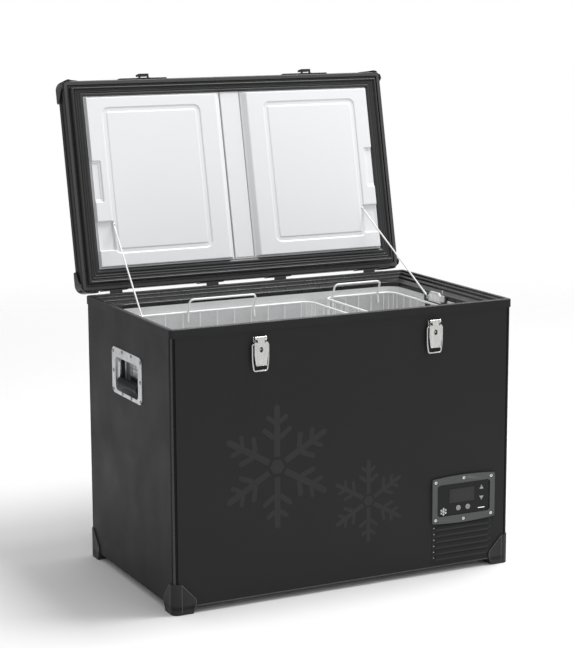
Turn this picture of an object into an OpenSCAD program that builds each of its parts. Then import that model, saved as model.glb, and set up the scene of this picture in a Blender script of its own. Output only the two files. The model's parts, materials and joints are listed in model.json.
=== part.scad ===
// Chest cooler with a DC compressor: coated steel cabinet, silver lined tub with a
// step over the compressor bay, hinged foam lid held open by two stay cables,
// two front toggle latches, two side carrying handles and two wire baskets.
// Frame: X to the right, Y to the back, Z up, origin on the floor at the centre of
// the four fixing holes. Millimetres. Parts are drawn with the lid fully open.

/* [Cabinet] */
// Width over the side panels
cab_w = 800; // [780:1:820]
// Depth over the front and back panels
cab_d = 468; // [460:1:480]
// Height of the top rim above the floor
rim_top = 592; // [580:1:600]
// Clearance under the base pan
clear_z = 14; // [10:1:18]
// Thickness of the coated steel sheet
sheet_t = 1.2; // [0.8:0.1:1.6]
// Outside radius of the corner posts
post_r = 8; // [6:1:10]
// Height of the foot corners
foot_h = 65; // [55:1:75]

/* [Tub] */
// Wall thickness from the panel to the inside of the tub at the sides
wall_x = 48; // [44:1:52]
// Wall thickness from the panel to the inside of the tub at front and back
wall_y = 44; // [40:1:48]
// Height of the tub floor
tub_z = 70; // [66:1:76]
// Height of the step over the compressor
step_z = 272; // [268:1:276]
// Left edge of the step
step_x = 150; // [148:1:152]
// Inside corner radius of the tub
tub_r = 30; // [20:1:36]

/* [Lid] */
// Angle between the closed lid and the open lid
lid_open = 102.2; // [95:0.1:103]
// Gap between the rim and the closed lid
lid_gap = 2.4; // [2:0.1:3]
// Height of the lid frame
lid_h = 34; // [30:1:36]
// Depth of the raised pads on the lid's inner face
pad_h = 10; // [8:0.5:10]

/* [Latches and handles] */
// Distance of each latch from the centre
latch_x = 205; // [195:1:210]
// Height of the latch lever's hinge
latch_z = 560; // [557:1:560]
// Height of the carrying handle's pivot
carry_z = 477; // [472:1:479]
// Centre of the carrying handles from front to back
carry_y = 0; // [-6:1:6]

/* [Baskets] */
// Height of the large basket's rim wire
large_rim_z = 544; // [540:1:546]
// Height of the small basket's rim wire
small_rim_z = 549; // [546:1:550]
// Diameter of the rim wire
rim_wire = 5; // [4:0.5:5]

/* [Hidden] */
$fn = 48;

half_w = cab_w / 2;
half_d = cab_d / 2;
small_gap = 0.1;

// top rim
rim_proud = 1.5;
skirt_h = 18;
rim_low = rim_top - 29;
skirt_z = rim_top - skirt_h;
tub_hw = half_w - wall_x;
tub_hd = half_d - wall_y;
tub_t = 2;
// distance in from the panel, and drop below the top, of each ledge of the rim
rim_steps = [[8, 2.5], [11, 5], [14, 7.5], [20, 9], [26, 12], [32, 15], [38, 18.5]];

// compressor bay
bay_x = 197;
bay_z = 228;

// lid, in closed coordinates: n is the height above the lid's inner face
hinge_y = half_d + 12;
hinge_z = rim_top - 6;
lid_z = rim_top + lid_gap;
skin_t = 2;
opening_x = 356;
opening_front = -198;
opening_back = 187;
strip_w = 10;
groove_w = 5;
pad_inner_base = 26;
pad_inner_top = 41;
pad_outer = 354;
pad_front = -196;
pad_back = 185;

// stay cables: fixing on the tub wall and, in closed coordinates, on the lid
stay_r = 1.8;
stay_wall = [347.4, 30, 560];
stay_lid = [315, 90, lid_z - 6];

// lid switch, beside the lamp
switch_y = -34.5;

// latch, w is the distance out from the front panel
latch_w = 7;
bail_drop = 12;
bail_w = 6.5;
bail_r = 1.75;
bail_len = 55.5;

// hinges
hinge_xs = [-321, -86, 86, 321];
hinge_len = 58;
knuckle_r = 4;
hinge_pin_r = 2;
run_clear = 0.05;

// control panel
ctrl_x = 284;
ctrl_z = 162;
ctrl_w = 158;
ctrl_h = 106;
ctrl_win_w = 133;
ctrl_win_h = 71;
key_clear = 0.35;

// grilles
louvre_n = 6;
louvre_pitch = 13.3;
louvre_w = 134;
louvre_first_z = 32;

// carrying handles
dish_w = 166;
dish_h = 100;
dish_z = 457;
dish_deep = 22;
recess_w = 126;
recess_h = 72;
recess_z = 451;
carry_x = half_w - 6;
carry_drop = 43;
carry_half = 59;
carry_pin = 68;
carry_bend = 4;
grip_len = 109;
carry_rod_r = 3.5;
grip_r = 10;

// baskets: left, right, front, back, floor, rim height, corner radius
basket_wall = 3;
large_box = [-345.5, 128, -174, 174, tub_z + 1.5, large_rim_z, 28];
small_box = [160, 345.5, -176, 176, step_z + 1.5, small_rim_z, 28];

// drain
drain_x = -300;
drain_z = tub_z + 14;

// ---------------------------------------------------------------- shapes

// Rounded rectangle centred on the origin, with true arcs
module rrect(w, h, r) {
    square([w - 2 * r, h], center = true);
    square([w, h - 2 * r], center = true);
    for (x = [-1, 1], y = [-1, 1])
        translate([x * (w / 2 - r), y * (h / 2 - r)]) circle(r);
}

// Rounded rectangle between two corners
module rrect_span(x0, x1, y0, y1, r) {
    translate([(x0 + x1) / 2, (y0 + y1) / 2]) rrect(x1 - x0, y1 - y0, r);
}

// Box between two corners
module span(lo, hi) {
    translate(lo) cube(hi - lo);
}

// Draws its children in the XZ plane and extrudes them from y0 to y1
module along_y(y0, y1) {
    translate([0, y1, 0]) rotate([90, 0, 0]) linear_extrude(y1 - y0) children();
}

// Draws its children in the YZ plane and extrudes them from x0 to x1
module along_x(x0, x1) {
    translate([x0, 0, 0]) rotate([90, 0, 90]) linear_extrude(x1 - x0) children();
}

// Round bar along X, Y or Z
module bar_x(x0, x1, y, z, r) {
    translate([x0, y, z]) rotate([0, 90, 0]) cylinder(r = r, h = x1 - x0);
}
module bar_y(x, y0, y1, z, r) {
    translate([x, y0, z]) rotate([-90, 0, 0]) cylinder(r = r, h = y1 - y0);
}

// Both mirror images in X
module both_sides() {
    children();
    mirror([1, 0, 0]) children();
}

// All four mirror images in X and Y
module four_corners() {
    for (x = [0, 1], y = [0, 1])
        mirror([x, 0, 0]) mirror([0, y, 0]) children();
}

// Direction helpers for bent wire
function unit(v) = v / norm(v);
function turn(a, b, c) =
    let (d = unit(b - a), e = unit(c - b)) atan2(d[0] * e[1] - d[1] * e[0], d * e);
function corner_turn(p, i, n) = turn(p[(i + n - 1) % n], p[i], p[(i + 1) % n]);
function trim(p, i, n, bend, closed) =
    !closed && (i == 0 || i == n - 1) ? 0 : bend * tan(abs(corner_turn(p, i, n)) / 2);

// Round wire along a flat path of points in the XY plane, with bends of one radius
module wire(p, r, bend, closed = false) {
    n = len(p);
    for (i = [0 : closed ? n - 1 : n - 2]) {
        a = p[i];
        b = p[(i + 1) % n];
        d = unit(b - a);
        from = a + d * trim(p, i, n, bend, closed);
        to = b - d * trim(p, (i + 1) % n, n, bend, closed);
        translate([from[0], from[1], 0]) rotate([0, 0, atan2(d[1], d[0])])
            rotate([0, 90, 0]) cylinder(r = r, h = norm(to - from));
    }
    for (i = [closed ? 0 : 1 : closed ? n - 1 : n - 2]) {
        b = p[i];
        phi = corner_turn(p, i, n);
        d = unit(b - p[(i + n - 1) % n]);
        side = sign(phi) * [-d[1], d[0]];
        centre = b - d * trim(p, i, n, bend, closed) + side * bend;
        start = atan2(-side[1], -side[0]) + min(phi, 0);
        translate([centre[0], centre[1], 0]) rotate([0, 0, start])
            rotate_extrude(angle = abs(phi)) translate([bend, 0]) circle(r);
    }
}

// Rounded plan of the cabinet, grown by a margin
module cabinet_plan(grow, r) {
    rrect(cab_w + 2 * grow, cab_d + 2 * grow, r);
}

// Places closed-lid parts on the open lid
module on_lid() {
    translate([0, hinge_y, hinge_z]) rotate([-lid_open, 0, 0])
        translate([0, -hinge_y, lid_z - hinge_z]) children();
}

// World place of a point given in closed-lid coordinates
function open_point(p) =
    let (y = p[1] - hinge_y, z = p[2] - hinge_z)
    [p[0], hinge_y + y * cos(lid_open) + z * sin(lid_open),
     hinge_z - y * sin(lid_open) + z * cos(lid_open)];

// ---------------------------------------------------------------- cabinet

// One row of pressed louvre hoods, on a face at y = 0 looking towards -Y
module louvres(x0, x1, z0) {
    for (i = [0 : louvre_n - 1])
        along_x(x0, x1)
            polygon([[0.4, z0 + i * louvre_pitch + 8.5], [0.4, z0 + i * louvre_pitch],
                     [-3.4, z0 + i * louvre_pitch], [-3.4, z0 + i * louvre_pitch + 1.4]]);
}

module louvre_slots(x0, x1, z0) {
    for (i = [0 : louvre_n - 1])
        span([x0, -1, z0 + i * louvre_pitch - 4], [x1, 3, z0 + i * louvre_pitch]);
}

module front_panel() {
    color([0.11, 0.11, 0.115]) difference() {
        span([-half_w + 10, -half_d, clear_z + 2], [half_w - 10, -half_d + sheet_t, skirt_z]);
        span([ctrl_x - 71, -half_d - 1, ctrl_z - 40], [ctrl_x + 71, -half_d + 3, ctrl_z + 40]);
        span([ctrl_x - 78, -half_d - 1, 22], [ctrl_x + 78, -half_d + 3, 108]);
    }
}

module side_panel() {
    difference() {
        span([half_w - sheet_t, -half_d + 10, clear_z + 2], [half_w, half_d - 10, skirt_z]);
        along_x(half_w - 3, half_w + 1) translate([carry_y, recess_z])
            rrect(recess_w + 4, recess_h + 4, 12);
    }
}

module right_panel() {
    color([0.13, 0.13, 0.135]) side_panel();
}

module left_panel() {
    color([0.13, 0.13, 0.135]) mirror([1, 0, 0]) side_panel();
}

module back_panel() {
    color([0.11, 0.11, 0.115]) difference() {
        span([-half_w + 10, half_d - sheet_t, clear_z + 2], [half_w - 10, half_d, skirt_z]);
        span([ctrl_x - 78, half_d - 3, 22], [ctrl_x + 78, half_d + 1, 108]);
        span([ctrl_x - 46, half_d - 3, 132], [ctrl_x + 46, half_d + 1, 188]);
        bar_y(drain_x, half_d - 3, half_d + 1, drain_z, 9.2);
    }
}

module base_pan() {
    color([0.16, 0.16, 0.16]) difference() {
        translate([0, 0, clear_z]) linear_extrude(14) rrect(cab_w - 22, cab_d - 4, 3);
        translate([0, 0, clear_z + 2]) linear_extrude(20) rrect(cab_w - 26, cab_d - 8, 2);
        for (x = [230 : 24 : 374])
            span([x, -150, clear_z - 1], [x + 8, -60, clear_z + 3]);
    }
}

module corner_posts() {
    color([0.07, 0.07, 0.072]) four_corners()
        translate([half_w - 10, half_d - 10, clear_z]) linear_extrude(skirt_z - clear_z)
            difference() {
                union() {
                    square([10 - post_r, 10]);
                    square([10, 10 - post_r]);
                    translate([10 - post_r, 10 - post_r]) intersection() {
                        circle(post_r);
                        square(post_r + 1);
                    }
                }
                translate([-1, -1]) square(6.5);
            }
}

// Outline of one foot gusset: distance in from the corner, and height
module foot_outline(inset = 0) {
    polygon([[inset, inset * 1.3], [inset, foot_h - inset], [19, foot_h - inset],
             [51.5 - inset * 1.7, 30], [52.5 - inset * 1.4, 21], [46.5 - inset, 6 + inset],
             [45.5 - inset, inset * 1.3]]);
}

module foot_corners() {
    out = 3;
    color([0.05, 0.05, 0.052]) four_corners() difference() {
        intersection() {
            linear_extrude(foot_h)
                rrect_span(half_w - 60, half_w + out, half_d - 60, half_d + out, 14);
            along_y(half_d - 70, half_d + 10) translate([half_w + out, 0]) mirror([1, 0])
                foot_outline();
            along_x(half_w - 70, half_w + 10) translate([half_d + out, 0]) mirror([1, 0])
                foot_outline();
        }
        span([half_w - 90, half_d - 90, clear_z - small_gap],
             [half_w + small_gap, half_d + small_gap, foot_h + 1]);
        translate([half_w - 25, half_d - 25, -1]) cylinder(r = 3.25, h = 30);
        along_y(half_d + out - 0.8, half_d + 10) translate([half_w + out, 0])
            mirror([1, 0]) difference() {
                foot_outline(4);
                foot_outline(8);
            }
        along_x(half_w + out - 0.8, half_w + 10) translate([half_d + out, 0])
            mirror([1, 0]) difference() {
                foot_outline(4);
                foot_outline(8);
            }
    }
}

module top_rim() {
    color([0.08, 0.08, 0.083]) difference() {
        union() {
            translate([0, 0, skirt_z]) linear_extrude(skirt_h - 2) cabinet_plan(rim_proud, 9);
            translate([0, 0, rim_top - 2.5]) linear_extrude(1.7) cabinet_plan(0.9, 8.4);
            translate([0, 0, rim_top - 1]) linear_extrude(1) cabinet_plan(-0.4, 7);
            translate([0, 0, rim_low + small_gap]) linear_extrude(skirt_z - rim_low)
                cabinet_plan(-sheet_t - small_gap, 7);
        }
        translate([0, 0, rim_low - 1]) linear_extrude(40) rrect(2 * tub_hw, 2 * tub_hd, tub_r);
        for (s = rim_steps)
            translate([0, 0, rim_top - s[1]]) linear_extrude(30)
                rrect(cab_w - 2 * s[0], cab_d - 2 * s[0], 4);
        // the posts and panels stand inside the rim's lower edge
        four_corners() span([half_w - 12, half_d - 12, rim_low - 1],
                            [half_w - sheet_t, half_d - sheet_t, skirt_z]);
    }
}

// Plan of the tub's hollow, grown by a wall thickness
module tub_plan(grow) {
    rrect(2 * (tub_hw + grow), 2 * (tub_hd + grow), tub_r + grow);
}

// The tub as a block, with its step, grown by a wall thickness
module tub_block(grow, top) {
    difference() {
        translate([0, 0, tub_z - grow]) linear_extrude(top - tub_z + grow) tub_plan(grow);
        span([step_x + grow, -300, 0], [500, 300, step_z - grow]);
    }
}

module tub() {
    color([0.78, 0.79, 0.79]) difference() {
        tub_block(tub_t, rim_low);
        tub_block(0, rim_low + 50);
        bar_y(drain_x, tub_hd - 5, tub_hd + 10, drain_z, 8.1);
    }
}

module insulation() {
    color([0.86, 0.8, 0.62]) difference() {
        span([-half_w + sheet_t, -half_d + sheet_t, clear_z + 4],
             [half_w - sheet_t, half_d - sheet_t, rim_low]);
        tub_block(tub_t, rim_low + 50);
        span([bay_x, -300, 0], [500, 300, bay_z]);
        four_corners() span([half_w - 12, half_d - 12, 0], [half_w, half_d, 700]);
        // pocket of each carrying handle
        both_sides() along_x(half_w - dish_deep - 3, half_w + 1) translate([carry_y, recess_z])
            rrect(recess_w + 4, recess_h + 4, 12);
        both_sides() for (s = [-1, 1])
            span([carry_x - 9, carry_y + s * 66 - 4, carry_z - 9],
                 [half_w, carry_y + s * 66 + 4, carry_z + 9]);
        // recess of the evaporator
        translate([0, 0, 296]) linear_extrude(190) difference() {
            tub_plan(tub_t + 11);
            tub_plan(tub_t - 1);
        }
        bar_y(drain_x, tub_hd - 5, half_d + 5, drain_z, 8.1);
        // rim of the base pan
        translate([0, 0, clear_z]) linear_extrude(14.2) difference() {
            rrect(cab_w + 10, cab_d + 10, 3);
            rrect(cab_w - 26.4, cab_d - 8.4, 2);
        }
    }
}

// ---------------------------------------------------------------- cooling unit

module evaporator() {
    hw = tub_hw + tub_t + 5;
    hd = tub_hd + tub_t + 5;
    color([0.72, 0.45, 0.3])
        for (z = [306 : 34 : 476])
            translate([0, 0, z])
                wire([[-hw, -hd], [hw, -hd], [hw, hd], [-hw, hd]], 4, 35, true);
}

module compressor() {
    color([0.06, 0.06, 0.06]) translate([300, 40, 0]) {
        rotate_extrude() polygon([[0, 36], [40, 38], [58, 52], [62, 60], [62, 84], [64, 84],
                                  [64, 90], [62, 90], [62, 122], [56, 138], [38, 152],
                                  [0, 156]]);
        difference() {
            span([-78, -66, 30], [78, 66, 33]);
            for (x = [-68, 68], y = [-56, 56])
                translate([x, y, 20]) cylinder(r = 6.1, h = 20);
        }
        translate([0, 0, 33]) cylinder(r = 30, h = 4);
        translate([0, 0, 154]) cylinder(r = 8, h = 6);
    }
}

module compressor_mounts() {
    color([0.03, 0.03, 0.03])
        for (x = [-68, 68], y = [-56, 56])
            translate([300 + x, 40 + y, clear_z + 2]) difference() {
                union() {
                    cylinder(r = 11, h = 13.9);
                    cylinder(r = 6, h = 22);
                }
                translate([0, 0, 5]) cylinder(r = 3, h = 30);
            }
}

module condenser() {
    x0 = 215;
    x1 = 375;
    color([0.6, 0.6, 0.62]) {
        difference() {
            union() {
                span([x0, -192, 24], [x0 + 3, -150, 104]);
                span([x1 - 3, -192, 24], [x1, -150, 104]);
                for (x = [x0 + 10 : 7 : x1 - 8])
                    span([x, -190, 26], [x + 1, -152, 102]);
                for (z = [36, 64, 92])
                    bar_x(x0 + 1, x1 - 1, -171, z, 4);
            }
            for (z = [36, 64, 92])
                bar_x(x0 - 5, x1 + 5, -171, z, 3);
        }
    }
}

module fan_shroud() {
    color([0.09, 0.09, 0.09]) {
        difference() {
            span([222, -148, 20], [368, -136, 108]);
            bar_y(295, -150, -134, 64, 40);
        }
        // motor hub and its spider
        difference() {
            union() {
                bar_y(295, -139, -136, 64, 16);
                for (a = [0 : 90 : 270])
                    translate([295, -139, 64]) rotate([0, a, 0]) span([-1.5, 0, 12], [1.5, 3, 41]);
            }
            bar_y(295, -150, -130, 64, 2.05);
        }
    }
}

module fan_rotor() {
    color([0.2, 0.2, 0.2]) {
        bar_y(295, -147, -139.5, 64, 14);
        bar_y(295, -140, -136, 64, 2);
        for (a = [0 : 72 : 288])
            translate([295, -143.6, 64]) rotate([0, a, 0]) rotate([0, 0, 28])
                span([-7, -0.8, 12], [7, 0.8, 37]);
    }
}

module electronics_module() {
    color([0.12, 0.12, 0.13]) {
        span([204, 120, 60], [222, 215, 150]);
        for (y = [126 : 12 : 210])
            span([222, y, 66], [234, y + 3, 144]);
    }
}

module pipework() {
    color([0.72, 0.45, 0.3]) {
        translate([300, 0, 0]) rotate([90, 0, 90])
            wire([[40, 160.2], [40, 190], [-171, 190], [-171, 112]], 3, 14);
        translate([340, 0, 0]) rotate([90, 0, 90])
            wire([[150, 79.9], [150, 205], [90, 205], [90, bay_z]], 3, 8);
    }
    // filter drier
    color([0.72, 0.45, 0.3]) translate([340, 150, 24]) rotate_extrude()
        polygon([[0, 0], [4, 0], [10, 10], [10, 46], [4, 56], [0, 56]]);
}

// ---------------------------------------------------------------- controls

// Outline of the bezel: a rounded rectangle whose long sides bow outwards
module bezel_outline(w, h, r, bow) {
    big = (w * w / 4) / (2 * bow);
    intersection() {
        rrect(w, h, r);
        translate([0, -big + h / 2]) circle(big, $fn = 360);
        translate([0, big - h / 2]) circle(big, $fn = 360);
    }
}

bezel_screw_at = [[-70, 42], [0, 45.5], [70, 42], [-70, -42], [0, -45.5], [70, -42]];
key_power = [-12.5, -20.5];
key_set = [11.5, -20.5];
key_up = [46, 18];
key_down = [46, -4];

module control_bezel() {
    color([0.33, 0.345, 0.335]) difference() {
        along_y(-half_d - 5, -half_d - small_gap) translate([ctrl_x, ctrl_z]) difference() {
            bezel_outline(ctrl_w, ctrl_h, 10, 4);
            rrect(ctrl_win_w, ctrl_win_h, 8);
        }
        for (p = bezel_screw_at)
            bar_y(ctrl_x + p[0], -half_d - 6, -half_d - 3.8, ctrl_z + p[1], 4.3);
    }
}

module bezel_screws() {
    color([0.8, 0.8, 0.8])
        for (p = bezel_screw_at)
            difference() {
                bar_y(ctrl_x + p[0], -half_d - 5.6, -half_d - 3.8, ctrl_z + p[1], 4);
                translate([ctrl_x + p[0], -half_d - 6, ctrl_z + p[1]]) rotate([-90, 0, 0])
                    cylinder(r = 2, h = 1.4, $fn = 6);
            }
}

module key_shape(p, kind, grow) {
    translate([ctrl_x + p[0], 0, ctrl_z + p[1]]) rotate([90, 0, 0]) {
        if (kind == "round") cylinder(r = 5.5 + grow, h = 5.2, center = true);
        if (kind == "up") rotate([0, 0, 90]) cylinder(r = 6 + 2 * grow, h = 5.2, center = true,
                                                      $fn = 3);
        if (kind == "down") rotate([0, 0, -90]) cylinder(r = 6 + 2 * grow, h = 5.2,
                                                         center = true, $fn = 3);
    }
}

module control_fascia() {
    color([0.03, 0.03, 0.032]) difference() {
        along_y(-half_d - 2.6, -half_d - 0.8) translate([ctrl_x, ctrl_z])
            rrect(ctrl_win_w - 0.4, ctrl_win_h - 0.4, 7.8);
        span([ctrl_x - 35.6, -half_d - 4, ctrl_z - 8.6],
             [ctrl_x + 28.1, -half_d, ctrl_z + 23.6]);
        translate([0, -half_d - 2, 0]) {
            key_shape(key_power, "round", key_clear);
            key_shape(key_set, "round", key_clear);
            key_shape(key_up, "up", key_clear);
            key_shape(key_down, "down", key_clear);
        }
    }
}

module display_window() {
    color([0.01, 0.01, 0.012])
        span([ctrl_x - 35.4, -half_d - 2.8, ctrl_z - 8.4],
             [ctrl_x + 27.9, -half_d - 1, ctrl_z + 23.4]);
}

module key(p, kind) {
    color([0.5, 0.51, 0.52]) translate([0, -half_d - 0.9, 0]) key_shape(p, kind, 0);
}
module power_key() key(key_power, "round");
module set_key() key(key_set, "round");
module up_key() key(key_up, "up");
module down_key() key(key_down, "down");

// Box behind the fascia, with the circuit board in it
module control_box() {
    color([0.12, 0.12, 0.12]) difference() {
        span([ctrl_x - 70, -half_d + 0.2, ctrl_z - 39], [ctrl_x + 70, -half_d + 30, ctrl_z + 39]);
        span([ctrl_x - 68, -half_d - 1, ctrl_z - 37], [ctrl_x + 68, -half_d + 28, ctrl_z + 37]);
    }
    color([0.05, 0.3, 0.12])
        span([ctrl_x - 67, -half_d + 7, ctrl_z - 36], [ctrl_x + 67, -half_d + 8.6, ctrl_z + 36]);
}

module grille() {
    difference() {
        union() {
            span([ctrl_x - 77.8, 0, 22.2], [ctrl_x + 77.8, 1.6, 107.8]);
            louvres(ctrl_x - louvre_w / 2, ctrl_x + louvre_w / 2, louvre_first_z);
        }
        louvre_slots(ctrl_x - louvre_w / 2 + 2, ctrl_x + louvre_w / 2 - 2, louvre_first_z);
    }
}

module front_grille() {
    color([0.1, 0.1, 0.1]) translate([0, -half_d, 0]) grille();
}

module back_grille() {
    color([0.1, 0.1, 0.1]) mirror([0, 1, 0]) translate([0, -half_d, 0]) grille();
}

// Plate with a low voltage socket and a mains inlet
module power_inlet() {
    color([0.05, 0.05, 0.05]) difference() {
        union() {
            along_y(half_d - 1.2, half_d + 2.5) translate([ctrl_x, 160]) rrect(91, 55, 5);
            span([ctrl_x - 40, half_d - 26, 140], [ctrl_x + 40, half_d - 1.2, 180]);
        }
        span([ctrl_x - 34, half_d - 18, 148], [ctrl_x - 6, half_d + 5, 171]);
        bar_y(ctrl_x + 20, half_d - 18, half_d + 5, 160, 11);
    }
    color([0.75, 0.75, 0.7]) {
        for (x = [-27, -20, -13])
            span([ctrl_x + x - 1, half_d - 18.1, 158], [ctrl_x + x + 1, half_d - 6, 163]);
        for (x = [16, 24])
            bar_y(ctrl_x + x, half_d - 18.1, half_d - 5, 160, 1.6);
    }
}

module drain_spout() {
    color([0.9, 0.9, 0.9]) difference() {
        union() {
            bar_y(drain_x, tub_hd + small_gap, half_d + 9, drain_z, 8);
            bar_y(drain_x, half_d + small_gap, half_d + 3, drain_z, 15);
        }
        bar_y(drain_x, tub_hd - 10, half_d + 20, drain_z, 6);
    }
}

module drain_plug() {
    color([0.04, 0.04, 0.04]) {
        bar_y(drain_x, half_d - 6, half_d + 9.2, drain_z, 5.7);
        difference() {
            bar_y(drain_x, half_d + 9.1, half_d + 15, drain_z, 12);
            for (a = [0 : 30 : 330])
                translate([drain_x, 0, drain_z]) rotate([0, a, 0])
                    bar_y(12.6, half_d + 8, half_d + 16, 0, 1.6);
        }
    }
}

// ---------------------------------------------------------------- latches

module latch_base(x) {
    ear_in = 9.5;
    ear_out = 13;
    color([0.78, 0.78, 0.77]) translate([x, -half_d, 0]) difference() {
        union() {
            span([-14, -2, 522], [14, -small_gap, 563]);
            for (s = [0, 1])
                mirror([s, 0, 0]) {
                    span([ear_in, -latch_w, 551], [ear_out, -1, latch_z]);
                    bar_x(ear_in, ear_out, -latch_w, latch_z, 4);
                }
            bar_y(0, -8, -1, 537, 1.8);
        }
        bar_x(-20, 20, -latch_w, latch_z, 1.55);
        for (z = [527, 547], s = [-1, 1])
            bar_y(s * 9, -1.4, 1, z, 2);
    }
    color([0.85, 0.85, 0.84]) translate([x, -half_d, 0])
        bar_x(-13.4, 13.4, -latch_w, latch_z, 1.5);
}

module latch_lever(x) {
    plate_in = 9.5;
    plate_out = 11;
    color([0.82, 0.82, 0.81]) translate([x, -half_d, 0]) difference() {
        union() {
            along_y(-plate_out, -plate_in)
                polygon([[-15, latch_z], [-15, 526], [-13.2, 512], [-12, 504], [12, 504],
                         [13.2, 512], [15, 526], [15, latch_z]]);
            bar_x(-8.9, 8.9, -latch_w, latch_z, 4);
            span([-8.9, -plate_in - 0.5, latch_z - 2], [8.9, -latch_w, latch_z + 3]);
            for (s = [-1, 1])
                span([s * 14.3 - 0.7, -plate_in - 0.5, 528], [s * 14.3 + 0.7, -3, 550]);
            // curled lip at the free end
            span([-12, -13, 504], [12, -plate_in, 505.5]);
        }
        bar_x(-20, 20, -latch_w, latch_z, 1.55);
        for (s = [-1, 1])
            span([s * 12.2 - 3, -12, 552.5], [s * 12.2 + 3, -8, 566]);
        bar_x(-20, 20, -bail_w, latch_z - bail_drop, bail_r + run_clear);
        hull() {
            bar_y(0, -12, -8, 539, 2.6);
            bar_y(0, -12, -8, 534.5, 2.6);
        }
    }
}

module latch_bail(x) {
    z = latch_z - bail_drop;
    color([0.85, 0.85, 0.84]) translate([x, -half_d - bail_w, z]) rotate([90, 0, 0])
        wire([[12.6, 0], [18, 0], [18, -bail_len], [-18, -bail_len], [-18, 0], [-12.6, 0]],
             bail_r, 2.6);
}

// ---------------------------------------------------------------- carrying handles

rivet_at = [[-76, 40], [76, 40], [-76, -43], [76, -43], [-74, -2], [74, -2],
            [-25, -45.5], [25, -45.5], [-25, 44], [25, 44]];

// Dish on the right side; the left one is its mirror image
module handle_dish() {
    color([0.7, 0.71, 0.72]) {
        difference() {
            union() {
                along_x(half_w + small_gap, half_w + 1.7) translate([carry_y, dish_z])
                    rrect(dish_w, dish_h, 14);
                along_x(half_w - dish_deep - 2, half_w + 1) translate([carry_y, recess_z])
                    rrect(recess_w + 3, recess_h + 3, 11.5);
                // bosses behind the panel, which hold the bail's two pins
                for (s = [-1, 1])
                    span([carry_x - 4.7, carry_y + s * 66.2 - 2.8, carry_z - 7],
                         [half_w - sheet_t - 0.2, carry_y + s * 66.2 + 2.8, carry_z + 7]);
            }
            along_x(half_w - dish_deep, half_w + 5) translate([carry_y, recess_z])
                rrect(recess_w, recess_h, 10);
            bar_y(carry_x, carry_y - 80, carry_y + 80, carry_z, carry_rod_r + run_clear);
        }
        for (p = rivet_at)
            translate([half_w + 1.6, carry_y + p[0], dish_z + p[1]]) rotate([0, 90, 0])
                cylinder(r1 = 3.6, r2 = 2.2, h = 1.5);
    }
}
module handle_dish_right() handle_dish();
module handle_dish_left() mirror([1, 0, 0]) handle_dish();

module carry_bail() {
    color([0.8, 0.8, 0.8]) translate([carry_x, carry_y, carry_z]) rotate([90, 0, 90])
        wire([[-carry_pin, 0], [-carry_half, 0], [-carry_half, -carry_drop],
              [carry_half, -carry_drop], [carry_half, 0], [carry_pin, 0]],
             carry_rod_r, carry_bend);
}
module carry_bail_right() carry_bail();
module carry_bail_left() mirror([1, 0, 0]) carry_bail();

module carry_grip() {
    ring_step = 9;
    color([0.03, 0.03, 0.03])
        translate([carry_x, carry_y - grip_len / 2, carry_z - carry_drop])
            rotate([-90, 0, 0]) difference() {
                union() {
                    cylinder(r = grip_r - 0.8, h = grip_len);
                    for (h = [1 : ring_step : grip_len - 6])
                        translate([0, 0, h]) cylinder(r = grip_r, h = 6.5);
                }
                translate([0, 0, -1]) cylinder(r = carry_rod_r, h = grip_len + 2);
            }
}
module carry_grip_right() carry_grip();
module carry_grip_left() mirror([1, 0, 0]) carry_grip();

// ---------------------------------------------------------------- hinges

module cabinet_hinge_leaves() {
    color([0.06, 0.06, 0.06]) for (x = hinge_xs) difference() {
        union() {
            span([x - hinge_len / 2, half_d + 1.7, hinge_z - 26],
                 [x + hinge_len / 2, half_d + 3.7, hinge_z - 6]);
            for (k = [[-29, -15], [15, 29]]) {
                bar_x(x + k[0], x + k[1], hinge_y, hinge_z, knuckle_r);
                span([x + k[0], half_d + 1.7, hinge_z - 8],
                     [x + k[1], hinge_y, hinge_z - knuckle_r + 1.5]);
            }
        }
        bar_x(x - 40, x + 40, hinge_y, hinge_z, hinge_pin_r + run_clear);
        for (s = [-1, 1])
            bar_y(x + s * 20, half_d, half_d + 6, hinge_z - 17, 2.2);
    }
}

module lid_hinge_leaves() {
    low = hinge_z - lid_z;
    color([0.06, 0.06, 0.06]) on_lid() for (x = hinge_xs) difference() {
        union() {
            span([x - hinge_len / 2, half_d + small_gap, 1.2],
                 [x + hinge_len / 2, half_d + 2.1, 26]);
            bar_x(x - 14.7, x + 14.7, hinge_y, low, knuckle_r);
            span([x - 14.7, half_d + small_gap, 1.2], [x + 14.7, hinge_y, 3.8]);
            span([x - 14.7, hinge_y - 3, low + 2.8], [x + 14.7, hinge_y, 3.8]);
        }
        bar_x(x - 40, x + 40, hinge_y, low, hinge_pin_r + run_clear);
        for (s = [-1, 1])
            bar_y(x + s * 20, half_d, half_d + 6, 14, 2.2);
    }
}

module hinge_pins() {
    color([0.3, 0.3, 0.3]) for (x = hinge_xs)
        bar_x(x - 29.5, x + 29.5, hinge_y, hinge_z, hinge_pin_r);
}

// ---------------------------------------------------------------- stays, lamp, switch

// Black plates on the tub walls, each with the screw that holds a cable's eye
module stay_brackets() {
    color([0.05, 0.05, 0.05]) both_sides()
        span([tub_hw - 2, -48, 536], [tub_hw - small_gap, 50, 571]);
    color([0.8, 0.8, 0.8]) both_sides() difference() {
        union() {
            bar_x(stay_wall[0] - 0.9, tub_hw - 2, stay_wall[1], stay_wall[2], 2.4);
            bar_x(stay_wall[0] - 0.9, stay_wall[0] - 0.1, stay_wall[1], stay_wall[2], 4);
        }
        translate([stay_wall[0] - 2, stay_wall[1], stay_wall[2]]) rotate([0, 90, 0])
            cylinder(r = 1.5, h = 2, $fn = 6);
    }
}

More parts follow.
